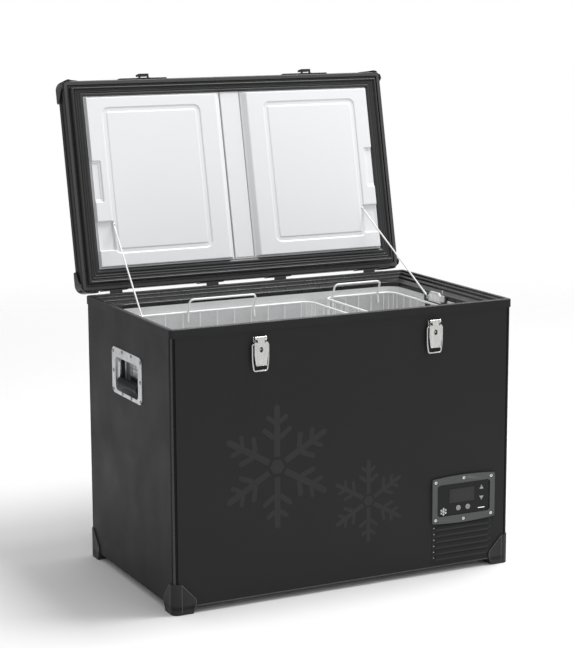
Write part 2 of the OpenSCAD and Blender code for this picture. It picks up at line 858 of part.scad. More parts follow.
// Taut cable from the eye on the wall to the eye in the lid's pocket
module stay_cable() {
    a = stay_wall + [1.2, 0, 0];
    b = open_point(stay_lid);
    d = b - a;
    reach = norm(d);
    color([0.88, 0.88, 0.88]) {
        translate(a + d * 9 / reach) rotate([0, acos(d[2] / reach), atan2(d[1], d[0])])
            cylinder(r = stay_r, h = reach - 18);
        // eye and crimp at the wall end
        difference() {
            union() {
                bar_x(stay_wall[0] + 0.1, stay_wall[0] + 2.3, a[1], a[2], 5);
                translate(a + d * 4.3 / reach)
                    rotate([0, acos(d[2] / reach), atan2(d[1], d[0])])
                        cylinder(r = 1.1, h = 5.2);
            }
            bar_x(a[0] - 5, a[0] + 5, a[1], a[2], 2.5);
        }
    }
}
module stay_cables() both_sides() stay_cable();

// Lamp on the right wall, with the guide of the lid switch beside it
module lamp_housing() {
    color([0.92, 0.92, 0.92]) {
        along_x(tub_hw - 6, tub_hw - 2 - small_gap)
            polygon([[-28, 553], [24, 553], [24, 567], [16, 576], [-20, 576], [-28, 567]]);
        difference() {
            span([tub_hw - 5.8, switch_y - 5, 558], [tub_hw - 2 - small_gap, switch_y + 6.6, 572]);
            translate([tub_hw - 4, switch_y, 550]) cylinder(r = 1.2 + run_clear, h = 30);
        }
    }
}

// Sprung plunger that the closed lid holds down
module lid_switch() {
    color([0.8, 0.8, 0.8]) {
        translate([tub_hw - 4, switch_y, 561]) cylinder(r = 1.2, h = 22);
        translate([tub_hw - 4, switch_y, 577]) cylinder(r = 1.8, h = 6.9);
    }
}

// ---------------------------------------------------------------- lid

// Ring around the lid: distances in from its edge, between two heights
module lid_ring(d0, d1, n0, n1, r0, r1) {
    translate([0, 0, n0]) linear_extrude(n1 - n0) difference() {
        rrect(cab_w - 2 * d0, cab_d - 2 * d0, r0);
        rrect(cab_w - 2 * d1, cab_d - 2 * d1, r1);
    }
}

module lid_opening_plan(gap) {
    rrect_span(-opening_x + gap, opening_x - gap, opening_front + gap, opening_back - gap, 5);
}

module lid_frame() {
    color([0.08, 0.08, 0.083]) on_lid() difference() {
        union() {
            translate([0, 0, 1.5]) linear_extrude(lid_h - 1.5) cabinet_plan(0, 8);
            linear_extrude(1.6) cabinet_plan(-1.2, 7);
        }
        translate([0, 0, -1]) linear_extrude(lid_h + 5) lid_opening_plan(0);
        lid_ring(strip_w, strip_w + groove_w, -1, 5, 6, 4);
        lid_ring(strip_w + groove_w - 1, 40, -1, 1, 4, 4);
        // shallow channel round the outside of the frame
        translate([0, 0, 12]) linear_extrude(9) difference() {
            cabinet_plan(5, 8);
            cabinet_plan(-1.5, 7);
        }
        // seats of the strike plates
        for (x = [-latch_x, latch_x])
            span([x - 60, -half_d - 1, 3], [x + 60, -half_d + 2, 30]);
    }
}

module lid_skin() {
    color([0.11, 0.11, 0.115]) on_lid() translate([0, 0, lid_h]) {
        linear_extrude(1.2) cabinet_plan(0, 8);
        linear_extrude(skin_t) cabinet_plan(-1.2, 7);
    }
}

module lid_core() {
    color([0.86, 0.8, 0.62]) on_lid() translate([0, 0, 4.1])
        linear_extrude(lid_h - 4.2) lid_opening_plan(0.1);
}

module lid_gasket() {
    color([0.12, 0.12, 0.12]) on_lid() difference() {
        union() {
            lid_ring(strip_w + groove_w - 0.6, 38, -3, 0.9, 4, 6);
            lid_ring(16, 22, -8, -2.9, 4, 4);
            lid_ring(25, 27, -4.4, -2.9, 5, 5);
            lid_ring(29, 31, -4.4, -2.9, 5, 5);
            lid_ring(33, 37, -5.5, -2.9, 5, 5);
        }
        translate([0, 0, -20]) linear_extrude(40) lid_opening_plan(-0.2);
    }
}

// Section of one raised pad, seen along the lid's depth
module pad_section() {
    polygon([[pad_inner_base, 0.5], [pad_inner_top - 2, -pad_h + 0.8],
             [pad_inner_top + 1, -pad_h], [pad_outer - 3, -pad_h], [pad_outer, -pad_h + 3],
             [pad_outer, 0.5]]);
}

module lid_liner() {
    color([0.9, 0.9, 0.91]) on_lid() difference() {
        union() {
            linear_extrude(4) lid_opening_plan(0.1);
            both_sides() along_y(pad_front, pad_back) pad_section();
            // flat strip along the middle
            span([-23.5, pad_front + 4, -1.6], [23.5, pad_back - 3, 0.5]);
        }
        both_sides() {
            // sunk panel of each pad
            translate([0, 0, -pad_h - 1]) linear_extrude(2.6) difference() {
                rrect_span(80, 318, -171, 155, 16);
                rrect_span(88, 310, -163, 147, 10);
            }
            // pocket of the stay cable's end
            span([311, 82, -pad_h - 1], [pad_outer - 0.5, 148, -2]);
            // narrow finger recess
            span([332, -52, -pad_h - 1], [349, 39, -pad_h + 5]);
        }
    }
    // screw that holds the cable's eye
    color([0.8, 0.8, 0.8]) on_lid() both_sides()
        translate([stay_lid[0], stay_lid[1], 0]) {
            translate([0, 0, -8.2]) cylinder(r = 1.6, h = 6.2);
            translate([0, 0, -9.4]) cylinder(r = 3.6, h = 1.4);
        }
}

// Side outline of a corner cap: distance from the corner, and height
module cap_outline() {
    polygon([[-6, -0.6], [20, -0.6], [27, 10], [50, 24], [50, 42], [-6, 42]]);
}

module lid_corner_caps() {
    out = 4;
    color([0.05, 0.05, 0.052]) on_lid() four_corners() difference() {
        intersection() {
            translate([0, 0, -0.6]) linear_extrude(lid_h + skin_t + 3.6)
                rrect_span(half_w - 60, half_w + out, half_d - 60, half_d + out, 20);
            along_y(half_d - 70, half_d + 10) translate([half_w + out, 0]) mirror([1, 0])
                cap_outline();
            along_x(half_w - 70, half_w + 10) translate([half_d + out, 0]) mirror([1, 0])
                cap_outline();
        }
        span([half_w - 90, half_d - 90, -5],
             [half_w + small_gap, half_d + small_gap, lid_h + skin_t + small_gap]);
    }
}

// Strike: a plate on the lid's front face, with a hook that the bail's bar drops into
module strike(x) {
    translate([x, -half_d, 0]) difference() {
        union() {
            along_y(-3, 1.9) rrect_span(-58, 58, 5, 29, 4);
            span([-16, -3, 2], [16, -0.5, 14]);
            for (s = [-1, 1])
                span([s * 10 - 2, -12, 2], [s * 10 + 2, -2, 5.8]);
            along_y(-12, -7.7) rrect_span(-12, 12, 2, 22, 2);
        }
        for (s = [-1, 1], u = [26, 46])
            bar_y(s * u, -5, -1.6, 17, 4);
    }
}

module lid_strikes() {
    color([0.05, 0.05, 0.052]) on_lid() {
        strike(-latch_x);
        strike(latch_x);
    }
}

// ---------------------------------------------------------------- baskets

// Round-cornered tub of the basket: its box grown inwards by a margin
module basket_plan(box, inset) {
    rrect_span(box[0] + inset, box[1] - inset, box[2] + inset, box[3] - inset,
               box[6] - inset);
}

// Upright windows between the wires of a wall, as slots along one axis
module wall_windows(from, to, pitch, low, high, bars) {
    n = round((to - from) / pitch);
    step = (to - from) / n;
    rise = (high - low) / bars;
    for (i = [0 : n - 1], k = [0 : bars - 1])
        translate([from + i * step + 1.5, low + k * rise + 1.5])
            square([step - 3, rise - 3]);
}

// Fixed carrying loop, leaning back from just above the rim wire at y
module basket_handle(x0, x1, y, rim_z, top_z) {
    lean = 12;
    rise = top_z - rim_z;
    foot = rim_wire / 2 + small_gap;
    translate([0, y, rim_z]) rotate([90 - atan(lean / rise), 0, 0])
        wire([[x0, foot], [x0, norm([lean, rise])], [x1, norm([lean, rise])], [x1, foot]],
             rim_wire / 2, 9);
}

// Walls, corners, floor and handles are separate pieces a hair apart
module basket(box, pitch, handle_x, handle_top) {
    low = box[4] + 8;
    high = box[5] - rim_wire / 2 - 1;
    wall = 1 + basket_wall;
    difference() {
        union() {
            difference() {
                translate([0, 0, box[4]]) linear_extrude(box[5] - box[4])
                    basket_plan(box, 1);
                translate([0, 0, box[4] - 1]) linear_extrude(box[5]) basket_plan(box, wall);
                along_y(box[2] - 5, box[3] + 5)
                    wall_windows(box[0] + box[6], box[1] - box[6], pitch, low, high, 3);
                along_x(box[0] - 5, box[1] + 5)
                    wall_windows(box[2] + box[6], box[3] - box[6], pitch, low, high, 3);
            }
            translate([0, 0, box[5]])
                wire([[box[0] + rim_wire / 2, box[2] + rim_wire / 2],
                      [box[1] - rim_wire / 2, box[2] + rim_wire / 2],
                      [box[1] - rim_wire / 2, box[3] - rim_wire / 2],
                      [box[0] + rim_wire / 2, box[3] - rim_wire / 2]], rim_wire / 2, 26, true);
        }
        for (x = [box[0] + box[6], box[1] - box[6]])
            span([x - small_gap / 2, box[2] - 5, box[4] - 1],
                 [x + small_gap / 2, box[3] + 5, box[5] + 5]);
        for (y = [box[2] + box[6], box[3] - box[6]])
            span([box[0] - 5, y - small_gap / 2, box[4] - 1],
                 [box[1] + 5, y + small_gap / 2, box[5] + 5]);
    }
    difference() {
        translate([0, 0, box[4]]) linear_extrude(basket_wall)
            basket_plan(box, wall + small_gap);
        translate([0, 0, box[4] - 1]) linear_extrude(basket_wall + 2)
            wall_windows(box[0] + box[6], box[1] - box[6], pitch, box[2] + 10, box[3] - 10, 4);
    }
    for (y = [box[2], box[3] - rim_wire])
        basket_handle(handle_x[0], handle_x[1], y + rim_wire / 2, box[5], handle_top);
}

module large_basket() {
    color([0.92, 0.92, 0.91]) basket(large_box, 43, [-180, -18], 574);
}

module small_basket() {
    color([0.92, 0.92, 0.91]) basket(small_box, 30, [185, 304], 580);
}

front_panel();
left_panel();
right_panel();
back_panel();
base_pan();
corner_posts();
foot_corners();
top_rim();
tub();
insulation();
evaporator();
compressor();
compressor_mounts();
condenser();
fan_shroud();
fan_rotor();
electronics_module();
pipework();
control_bezel();
control_fascia();
control_box();
display_window();
bezel_screws();
power_key();
set_key();
up_key();
down_key();
front_grille();
back_grille();
power_inlet();
drain_spout();
drain_plug();
latch_base(-latch_x);  // latch_base_left
latch_base(latch_x);  // latch_base_right
latch_lever(-latch_x);  // latch_lever_left
latch_lever(latch_x);  // latch_lever_right
latch_bail(-latch_x);  // latch_bail_left
latch_bail(latch_x);  // latch_bail_right
handle_dish_left();
handle_dish_right();
carry_bail_left();
carry_bail_right();
carry_grip_left();
carry_grip_right();
cabinet_hinge_leaves();
lid_hinge_leaves();
hinge_pins();
stay_brackets();
stay_cables();
lamp_housing();
lid_switch();
lid_frame();
lid_skin();
lid_core();
lid_liner();
lid_gasket();
lid_corner_caps();
lid_strikes();
large_basket();
small_basket();
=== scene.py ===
# Looks of the compressor cooler: every piece is worked out in millimetres from the frame's
# boxes and joints, and stored in metres.
import json
import math

import bmesh
import bpy
from mathutils import Matrix, Vector

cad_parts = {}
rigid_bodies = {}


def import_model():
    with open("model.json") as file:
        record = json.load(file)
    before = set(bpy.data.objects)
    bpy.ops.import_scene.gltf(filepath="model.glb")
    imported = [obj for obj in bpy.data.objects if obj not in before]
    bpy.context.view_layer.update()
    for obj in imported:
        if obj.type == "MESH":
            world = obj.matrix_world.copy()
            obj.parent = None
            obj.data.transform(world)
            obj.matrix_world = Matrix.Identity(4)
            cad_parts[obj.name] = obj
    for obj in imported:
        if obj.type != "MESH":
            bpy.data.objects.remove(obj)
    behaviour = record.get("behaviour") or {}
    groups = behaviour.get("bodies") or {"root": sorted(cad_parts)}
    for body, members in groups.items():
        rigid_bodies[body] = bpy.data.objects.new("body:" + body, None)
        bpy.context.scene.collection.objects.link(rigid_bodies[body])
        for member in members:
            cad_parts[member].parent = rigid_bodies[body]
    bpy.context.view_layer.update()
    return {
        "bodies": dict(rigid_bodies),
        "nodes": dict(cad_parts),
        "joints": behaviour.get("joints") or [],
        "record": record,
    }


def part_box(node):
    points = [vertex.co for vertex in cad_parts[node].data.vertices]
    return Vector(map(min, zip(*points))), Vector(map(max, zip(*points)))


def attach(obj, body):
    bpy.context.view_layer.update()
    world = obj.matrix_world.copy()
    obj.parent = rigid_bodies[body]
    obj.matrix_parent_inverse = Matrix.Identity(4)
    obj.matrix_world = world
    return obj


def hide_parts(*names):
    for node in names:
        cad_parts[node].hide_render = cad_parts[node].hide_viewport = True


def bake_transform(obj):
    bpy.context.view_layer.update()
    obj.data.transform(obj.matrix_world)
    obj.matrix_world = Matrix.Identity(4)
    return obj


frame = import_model()

MM = 0.001
NODES = frame["nodes"]
JOINTS = {joint["name"]: joint for joint in frame["joints"]}


def box_mm(node):
    low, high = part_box(node)
    return low / MM, high / MM


def middle_mm(node):
    """Middle of a node in X and in Z, seen from the front."""
    low, high = box_mm(node)
    return (low.x + high.x) / 2, (low.z + high.z) / 2


def pivot_mm(joint):
    return Vector(JOINTS[joint]["pos_m"]) / MM


# ---- driving dimensions

HALF_W, HALF_D = box_mm("corner_posts")[1].xy
RIM_TOP = box_mm("top_rim")[1].z
RIM_LOW = box_mm("tub")[1].z
SKIRT_LOW = box_mm("corner_posts")[1].z
TUB_HALF_W = box_mm("tub")[1].x - 2
TUB_HALF_D = box_mm("tub")[1].y - 2
TUB_CORNER = 30
HINGE = pivot_mm("lid_hinge")
LID_OPEN = math.radians(JOINTS["lid_hinge"]["range_deg"][1])
LID_Z = RIM_TOP + 2.4
LINER_X = 355.9
LINER_FRONT, LINER_BACK = -197.9, 186.9
PAD_H = 10
CORNERS = [(1, 1), (1, -1), (-1, 1), (-1, -1)]

# closed-lid coordinates, with heights counted from the lid's inner face, to the open lid
LID = (Matrix.Translation(HINGE) @ Matrix.Rotation(-LID_OPEN, 4, "X")
       @ Matrix.Translation(-HINGE) @ Matrix.Translation((0, 0, LID_Z)))


# ---- camera, floor, lights

# the camera: place in metres, focal length in millimetres, and heading, pitch and roll in degrees
CAMERA_PLACE = (-1.8350, -3.6408, 1.2849)
CAMERA_LENS = 105.43
CAMERA_TURN = (26.47, -10.46, 0.21)


def linked(name, data):
    """A new object in the scene."""
    obj = bpy.data.objects.new(name, data)
    bpy.context.scene.collection.objects.link(obj)
    return obj


def make_camera():
    data = bpy.data.cameras.new("camera")
    data.sensor_width = 36
    data.lens = CAMERA_LENS
    data.clip_end = 100
    camera = linked("camera", data)
    heading, pitch, roll = (math.radians(turn) for turn in CAMERA_TURN)
    camera.location = CAMERA_PLACE
    camera.rotation_euler = (math.pi / 2 + pitch, roll, -heading)
    bpy.context.scene.camera = camera


# brightness of the studio at its dim and its bright side, and the direction of the bright side
SKY_DIM = 0.6
SKY_BRIGHT = 1.15
SKY_BRIGHT_SIDE = (0.87, -0.5, 0.0)
# distances from the middle, in metres, between which the floor fades out
FLOOR_FADE = (1.6, 4.0)
# the lamps: name, place, target, size, power
LAMPS = [("key", (1.5, -0.3, 4.3), (-0.1, 0, 0.2), (1.7, 1.7), 150),
         ("corner_strip", (-3.0, -1.6, 0.6), (-0.4, -0.23, 0.3), (0.1, 2.4), 4)]


def area_light(name, place, target, size, power):
    data = bpy.data.lights.new(name, "AREA")
    data.shape = "RECTANGLE"
    data.size, data.size_y = size
    data.energy = power
    light = linked(name, data)
    light.location = place
    light.rotation_euler = (Vector(target) - Vector(place)).to_track_quat("-Z", "Y").to_euler()


def add_node(nodes, kind, values=None, **settings):
    """A new shader node with these settings and these values at its inputs."""
    node = nodes.new("ShaderNode" + kind)
    for name, value in settings.items():
        setattr(node, name, value)
    for name, value in (values or {}).items():
        node.inputs[name].default_value = value
    return node


def add_range(nodes, links, value, low, high, start, end):
    """Maps a value between start and end onto the range from low to high."""
    node = add_node(nodes, "MapRange", {"From Min": start, "From Max": end,
                                        "To Min": low, "To Max": high})
    links.new(value, node.inputs["Value"])
    return node.outputs["Result"]


def add_mix(nodes, links, factor, first, second, out):
    """Mixes two shaders into a shader input."""
    mix = add_node(nodes, "MixShader")
    links.new(factor, mix.inputs["Fac"])
    links.new(first, mix.inputs[1])
    links.new(second, mix.inputs[2])
    links.new(mix.outputs["Shader"], out)


def make_world():
    """White backdrop; the studio around it is brighter at the right front than at the left rear."""
    world = bpy.data.worlds.new("studio")
    bpy.context.scene.world = world
    world.use_nodes = True
    nodes, links = world.node_tree.nodes, world.node_tree.links
    nodes.clear()
    out = add_node(nodes, "OutputWorld")
    seen = add_node(nodes, "Background", {"Color": (1, 1, 1, 1), "Strength": 1.0})
    lit = add_node(nodes, "Background", {"Strength": 1.0})
    place = add_node(nodes, "TexCoord")
    side = add_node(nodes, "VectorMath", {1: SKY_BRIGHT_SIDE}, operation="DOT_PRODUCT")
    links.new(place.outputs["Generated"], side.inputs[0])
    strength = add_range(nodes, links, side.outputs["Value"], SKY_DIM, SKY_BRIGHT, -0.9, 0.9)
    links.new(strength, lit.inputs["Strength"])
    rays = add_node(nodes, "LightPath")
    add_mix(nodes, links, rays.outputs["Is Camera Ray"], lit.outputs["Background"],
            seen.outputs["Background"], out.inputs["Surface"])


def make_stage():
    """White sweep that fades into the backdrop, and the lamps."""
    mesh = bpy.data.meshes.new("floor")
    reach = 12
    mesh.from_pydata([(-reach, -reach, 0), (reach, -reach, 0), (reach, reach, 0),
                      (-reach, reach, 0)], [], [(0, 1, 2, 3)])
    floor = linked("floor", mesh)
    floor.location.z = -0.0005
    material = surface("floor_white", (0.88, 0.88, 0.88), 0.8, variation=0.0, specular=0.1)
    nodes, links = material.node_tree.nodes, material.node_tree.links
    place = add_node(nodes, "TexCoord")
    length = add_node(nodes, "VectorMath", operation="LENGTH")
    links.new(place.outputs["Object"], length.inputs[0])
    faded = add_range(nodes, links, length.outputs["Value"], 0, 1, *FLOOR_FADE)
    clear = add_node(nodes, "BsdfTransparent")
    add_mix(nodes, links, faded, nodes["Principled BSDF"].outputs["BSDF"], clear.outputs["BSDF"],
            nodes["Material Output"].inputs["Surface"])
    floor.data.materials.append(material)
    for lamp in LAMPS:
        area_light(*lamp)


# ---- materials

def surface(name, colour, roughness, metallic=0.0, variation=0.08, patch=9.0, grain=0.0,
            grain_scale=900.0, cells=0.0, cell_scale=200.0, rough_spread=0.06, coat=0.0,
            wear=0.0, emission=0.0, specular=0.5, stretch=(1, 1, 1)):
    """Node material: uneven colour and roughness, fine grain, optional cells, and edge wear."""
    material = bpy.data.materials.new(name)
    material.use_nodes = True
    nodes, links = material.node_tree.nodes, material.node_tree.links
    shader = nodes["Principled BSDF"]
    shader.inputs["Metallic"].default_value = metallic
    shader.inputs["Specular IOR Level"].default_value = specular
    shader.inputs["Coat Weight"].default_value = coat
    if emission:
        shader.inputs["Emission Color"].default_value = (*colour, 1)
        shader.inputs["Emission Strength"].default_value = emission
    place = add_node(nodes, "TexCoord")
    mapping = add_node(nodes, "Mapping", {"Scale": stretch})
    links.new(place.outputs["Object"], mapping.inputs["Vector"])

    def noise(scale, detail=3.0):
        node = add_node(nodes, "TexNoise", {"Scale": scale, "Detail": detail})
        links.new(mapping.outputs["Vector"], node.inputs["Vector"])
        return node.outputs["Fac"]

    def ranged(value, low, high, start=0.3, end=0.7):
        return add_range(nodes, links, value, low, high, start, end)

    def mixed(factor, first, second):
        node = add_node(nodes, "Mix", data_type="RGBA")
        links.new(factor, node.inputs["Factor"])
        for socket, value in (("A", first), ("B", second)):
            target = [s for s in node.inputs if s.name == socket and s.type == "RGBA"][0]
            if isinstance(value, tuple):
                target.default_value = (*value, 1)
            else:
                links.new(value, target)
        return [s for s in node.outputs if s.type == "RGBA"][0]

    patches = noise(patch)
    dark = tuple(c * (1 - variation) for c in colour)
    light = tuple(min(c * (1 + variation), 1) for c in colour)
    tint = mixed(ranged(patches, 0, 1), dark, light)
    if wear:
        geometry = add_node(nodes, "NewGeometry")
        edge = ranged(geometry.outputs["Pointiness"], 0, wear, 0.52, 0.6)
        tint = mixed(edge, tint, tuple(min(c * 2.2 + 0.05, 1) for c in colour))
    links.new(tint, shader.inputs["Base Color"])
    smudge = ranged(noise(patch * 4.0, 5.0), roughness - rough_spread, roughness + rough_spread)
    links.new(smudge, shader.inputs["Roughness"])
    height = None
    if grain:
        bump = add_node(nodes, "Bump", {"Strength": grain, "Distance": 0.0004})
        links.new(noise(grain_scale, 2.0), bump.inputs["Height"])
        height = bump
    if cells:
        bump = add_node(nodes, "Bump", {"Strength": cells, "Distance": 0.0006})
        voronoi = add_node(nodes, "TexVoronoi", {"Scale": cell_scale}, feature="SMOOTH_F1")
        links.new(mapping.outputs["Vector"], voronoi.inputs["Vector"])
        links.new(voronoi.outputs["Distance"], bump.inputs["Height"])
        if height:
            links.new(height.outputs["Normal"], bump.inputs["Normal"])
        height = bump
    if height:
        links.new(height.outputs["Normal"], shader.inputs["Normal"])
    return material


# looks by name: colour, roughness, and what differs from the defaults of surface()
LOOKS = {
    "front_coating": ((0.0178, 0.0178, 0.0182), 0.46, dict(
        grain=0.25, grain_scale=1400, variation=0.05, patch=3, specular=0.15)),
    "side_coating": ((0.023, 0.023, 0.0235), 0.48, dict(
        grain=0.25, grain_scale=1400, variation=0.05, patch=3, specular=0.12)),
    "black_plastic": ((0.016, 0.016, 0.0165), 0.4, dict(
        grain=0.35, grain_scale=1800, wear=0.25, specular=0.25)),
    "rim_plastic": ((0.014, 0.014, 0.0145), 0.3, dict(
        grain=0.04, grain_scale=1600, variation=0.03, specular=0.4)),
    "gasket_rubber": ((0.028, 0.028, 0.029), 0.36, dict(grain=0.1, grain_scale=1200, specular=0.4)),
    "liner_white": ((0.765, 0.77, 0.785), 0.34, dict(
        variation=0.012, patch=2, grain=0.06, grain_scale=700, coat=0.12)),
    "tub_silver": ((0.72, 0.725, 0.73), 0.42, dict(
        metallic=0.1, variation=0.04, cells=0.5, cell_scale=170, grain=0.15,
        grain_scale=500)),
    "foam": ((0.72, 0.64, 0.42), 0.9, dict(grain=0.8, grain_scale=700)),
    "copper": ((0.78, 0.42, 0.26), 0.32, dict(metallic=1.0, variation=0.15, patch=25)),
    "compressor_black": ((0.012, 0.012, 0.013), 0.24, dict(coat=0.5)),
    "rubber_black": ((0.014, 0.014, 0.014), 0.6, dict(grain=0.3)),
    "bright_fins": ((0.7, 0.71, 0.72), 0.35, dict(metallic=1.0, grain=0.15)),
    "fan_plastic": ((0.02, 0.02, 0.021), 0.45, dict(grain=0.2)),
    "board_green": ((0.02, 0.12, 0.05), 0.4, dict(variation=0.3, patch=60)),
    "gunmetal": ((0.062, 0.067, 0.064), 0.36, dict(
        metallic=0.3, grain=0.3, grain_scale=2200, wear=0.35)),
    "fascia_black": ((0.004, 0.004, 0.0045), 0.28, dict(
        variation=0.02, grain=0.05, grain_scale=1500, specular=0.25)),
    "display_dark": ((0.013, 0.013, 0.015), 0.12, dict(variation=0.05, specular=0.35)),
    "key_grey": ((0.36, 0.365, 0.37), 0.35, dict(grain=0.1)),
    "icon_white": ((0.75, 0.76, 0.77), 0.4, dict(variation=0.03)),
    "light_white": ((0.9, 0.93, 1.0), 0.3, dict(emission=0.55, variation=0.0)),
    "screw_steel": ((0.74, 0.74, 0.73), 0.25, dict(metallic=1.0, patch=200)),
    "grille_black": ((0.022, 0.022, 0.023), 0.45, dict(grain=0.3, grain_scale=1400)),
    "inlet_black": ((0.018, 0.018, 0.018), 0.42, dict(grain=0.2)),
    "white_plastic": ((0.78, 0.78, 0.77), 0.35, dict(variation=0.03)),
    "latch_steel": ((0.58, 0.58, 0.565), 0.24, dict(
        metallic=1.0, variation=0.08, patch=40, grain=0.12, grain_scale=500, stretch=(6,
        6, 1))),
    "galvanised": ((0.64, 0.65, 0.66), 0.36, dict(
        metallic=0.9, variation=0.14, patch=55, grain=0.25, grain_scale=420,
        rough_spread=0.1)),
    "handle_steel": ((0.66, 0.66, 0.67), 0.22, dict(metallic=1.0, patch=60)),
    "grip_rubber": ((0.007, 0.007, 0.007), 0.42, dict(grain=0.3, grain_scale=1500, specular=0.25)),
    "hinge_black": ((0.02, 0.02, 0.021), 0.4, dict(grain=0.3, wear=0.4)),
    "bracket_black": ((0.014, 0.014, 0.014), 0.4, dict(grain=0.2)),
    "cable_white": ((0.78, 0.78, 0.765), 0.38, dict(variation=0.05, patch=90)),
    "basket_wire": ((0.93, 0.93, 0.925), 0.35, dict(patch=120, variation=0.02)),
    # painted highlight along the middle of the rounded corner profiles
    "post_painted_highlight": ((0.04, 0.04, 0.041), 0.3, dict(variation=0.03, specular=0.3)),
    "post_black": ((0.005, 0.005, 0.0052), 0.3, dict(
        grain=0.03, grain_scale=900, variation=0.04, specular=0.1)),
    # painted highlight: lighter grey for thin raised beads
    "bead_painted_highlight": ((0.10, 0.10, 0.10), 0.4, dict(variation=0.05)),
    "rivet_grey": ((0.10, 0.10, 0.10), 0.35, dict(metallic=0.8, patch=80)),
    "icon_dark": ((0.02, 0.02, 0.02), 0.4, dict()),
    "segment_grey": ((0.0165, 0.0165, 0.018), 0.2, dict()),
    "lens_white": ((0.85, 0.86, 0.85), 0.25, dict(coat=0.3, emission=0.25)),
    # painted highlight on the flat inner strip of the lid frame
    "lid_strip_painted_highlight": ((0.05, 0.05, 0.051), 0.32, dict(variation=0.03, specular=0.4)),
    # painted shade on the floor of the liner's grooves
    "groove_painted_shade": ((0.3, 0.3, 0.31), 0.5, dict(variation=0.03)),
    "decal_grey": ((0.0285, 0.0285, 0.029), 0.44, dict(
        grain=0.2, grain_scale=1400, variation=0.04, specular=0.15)),
}


# ---- mesh helpers

def turns(count):
    """Angles of count points spread round a full circle."""
    return [math.tau * k / count for k in range(count)]


class Shape:
    """Collects the points, in millimetres, and the faces of one piece."""

    def __init__(self):
        self.points, self.faces = [], []

    def loft(self, rings, caps=False, wrap=False):
        """Joins equal rings of points; caps fill the two ends, wrap joins the last to the first."""
        n = len(rings[0])
        first = len(self.points)
        for ring in rings:
            self.points += [Vector(p) for p in ring]
        count = len(rings)
        for i in range(count if wrap else count - 1):
            a, b = first + i * n, first + ((i + 1) % count) * n
            for j in range(n):
                k = (j + 1) % n
                self.faces.append((a + j, a + k, b + k, b + j))
        if caps:
            self.faces.append(tuple(reversed(range(first, first + n))))
            self.faces.append(tuple(range(first + (count - 1) * n, first + count * n)))
        return self

    def tube(self, path, radius, sides=12, closed=False, radii=None):
        """Round bar along a path of points."""
        path = [Vector(p) for p in path]
        n = len(path)
        normal, rings = None, []
        for i, point in enumerate(path):
            before = path[i - 1] if i or closed else point
            after = path[(i + 1) % n] if i < n - 1 or closed else point
            along = (after - before).normalized()
            if normal is None:
                normal = along.orthogonal().normalized()
            normal = (normal - along * normal.dot(along)).normalized()
            side = along.cross(normal)
            r = radii[i] if radii else radius
            rings.append([point + (normal * math.cos(t) + side * math.sin(t)) * r
                          for t in turns(sides)])
        if closed:
            # the last ring is turned back onto the first one
            first, last = rings[0], rings[-1]
            shift = min(range(sides), key=lambda s: (last[s] - first[0]).length)
            rings = rings + [first[-shift:] + first[:-shift] if shift else first]
            return self.loft(rings)
        return self.loft(rings, caps=True)

    def moved(self, matrix):
        self.points = [matrix @ p for p in self.points]
        return self


def smooth_mesh(mesh, sharp):
    """Faces turned outwards and shaded smooth, with edges steeper than sharp degrees kept."""
    bm = bmesh.new()
    bm.from_mesh(mesh)
    bmesh.ops.remove_doubles(bm, verts=bm.verts, dist=1e-7)
    bmesh.ops.recalc_face_normals(bm, faces=bm.faces)
    for face in bm.faces:
        face.smooth = True
    for edge in bm.edges:
        if len(edge.link_faces) == 2 and edge.calc_face_angle(0) > math.radians(sharp):
            edge.smooth = False
    bm.to_mesh(mesh)
    bm.free()


def add_piece(name, mesh, material, body, replaces, sharp):
    """A mesh as a piece that rides on a body and stands for CAD nodes."""
    smooth_mesh(mesh, sharp)
    mesh.materials.append(MATERIALS[material])
    obj = linked(name, mesh)
    modifier = obj.modifiers.new("weighted", "WEIGHTED_NORMAL")
    modifier.keep_sharp = True
    modifier.weight = 60
    if body:
        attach(obj, body)
    if replaces:
        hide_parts(*replaces)
    return obj


def make_piece(name, shape, material, body="cabinet", replaces=(), sharp=40):
    mesh = bpy.data.meshes.new(name)
    mesh.from_pydata([p * MM for p in shape.points], [], shape.faces)
    return add_piece(name, mesh, material, body, replaces, sharp)


def soften(node, width, material, segments=2, body="cabinet"):
    """A copy of a CAD node with its edges rounded, which stands for the node."""
    bm = bmesh.new()
    bm.from_mesh(NODES[node].data)
    bmesh.ops.remove_doubles(bm, verts=bm.verts, dist=2e-6)
    bmesh.ops.dissolve_limit(bm, angle_limit=math.radians(0.6), verts=bm.verts, edges=bm.edges)
    edges = [e for e in bm.edges
             if len(e.link_faces) == 2 and e.calc_face_angle(0) > math.radians(35)]
    bmesh.ops.bevel(bm, geom=edges, offset=width * MM, segments=segments, profile=0.5,
                    affect="EDGES", clamp_overlap=True)
    mesh = bpy.data.meshes.new(node + "_rounded")
    bm.to_mesh(mesh)
    bm.free()
    add_piece(node + "_rounded", mesh, material, body, [node], 40)


def arc(centre, radius, start, end, steps):
    """Points of an arc in degrees, end included."""
    angles = (math.radians(start + (end - start) * i / steps) for i in range(steps + 1))
    return [(centre[0] + radius * math.cos(a), centre[1] + radius * math.sin(a)) for a in angles]


def rounded_rect(x0, x1, y0, y1, r, steps=8):
    """Outline of a rounded rectangle, counted anticlockwise."""
    r = max(min(r, (x1 - x0) / 2 - 0.01, (y1 - y0) / 2 - 0.01), 0.01)
    return (arc((x1 - r, y0 + r), r, -90, 0, steps) + arc((x1 - r, y1 - r), r, 0, 90, steps)
            + arc((x0 + r, y1 - r), r, 90, 180, steps) + arc((x0 + r, y0 + r), r, 180, 270, steps))


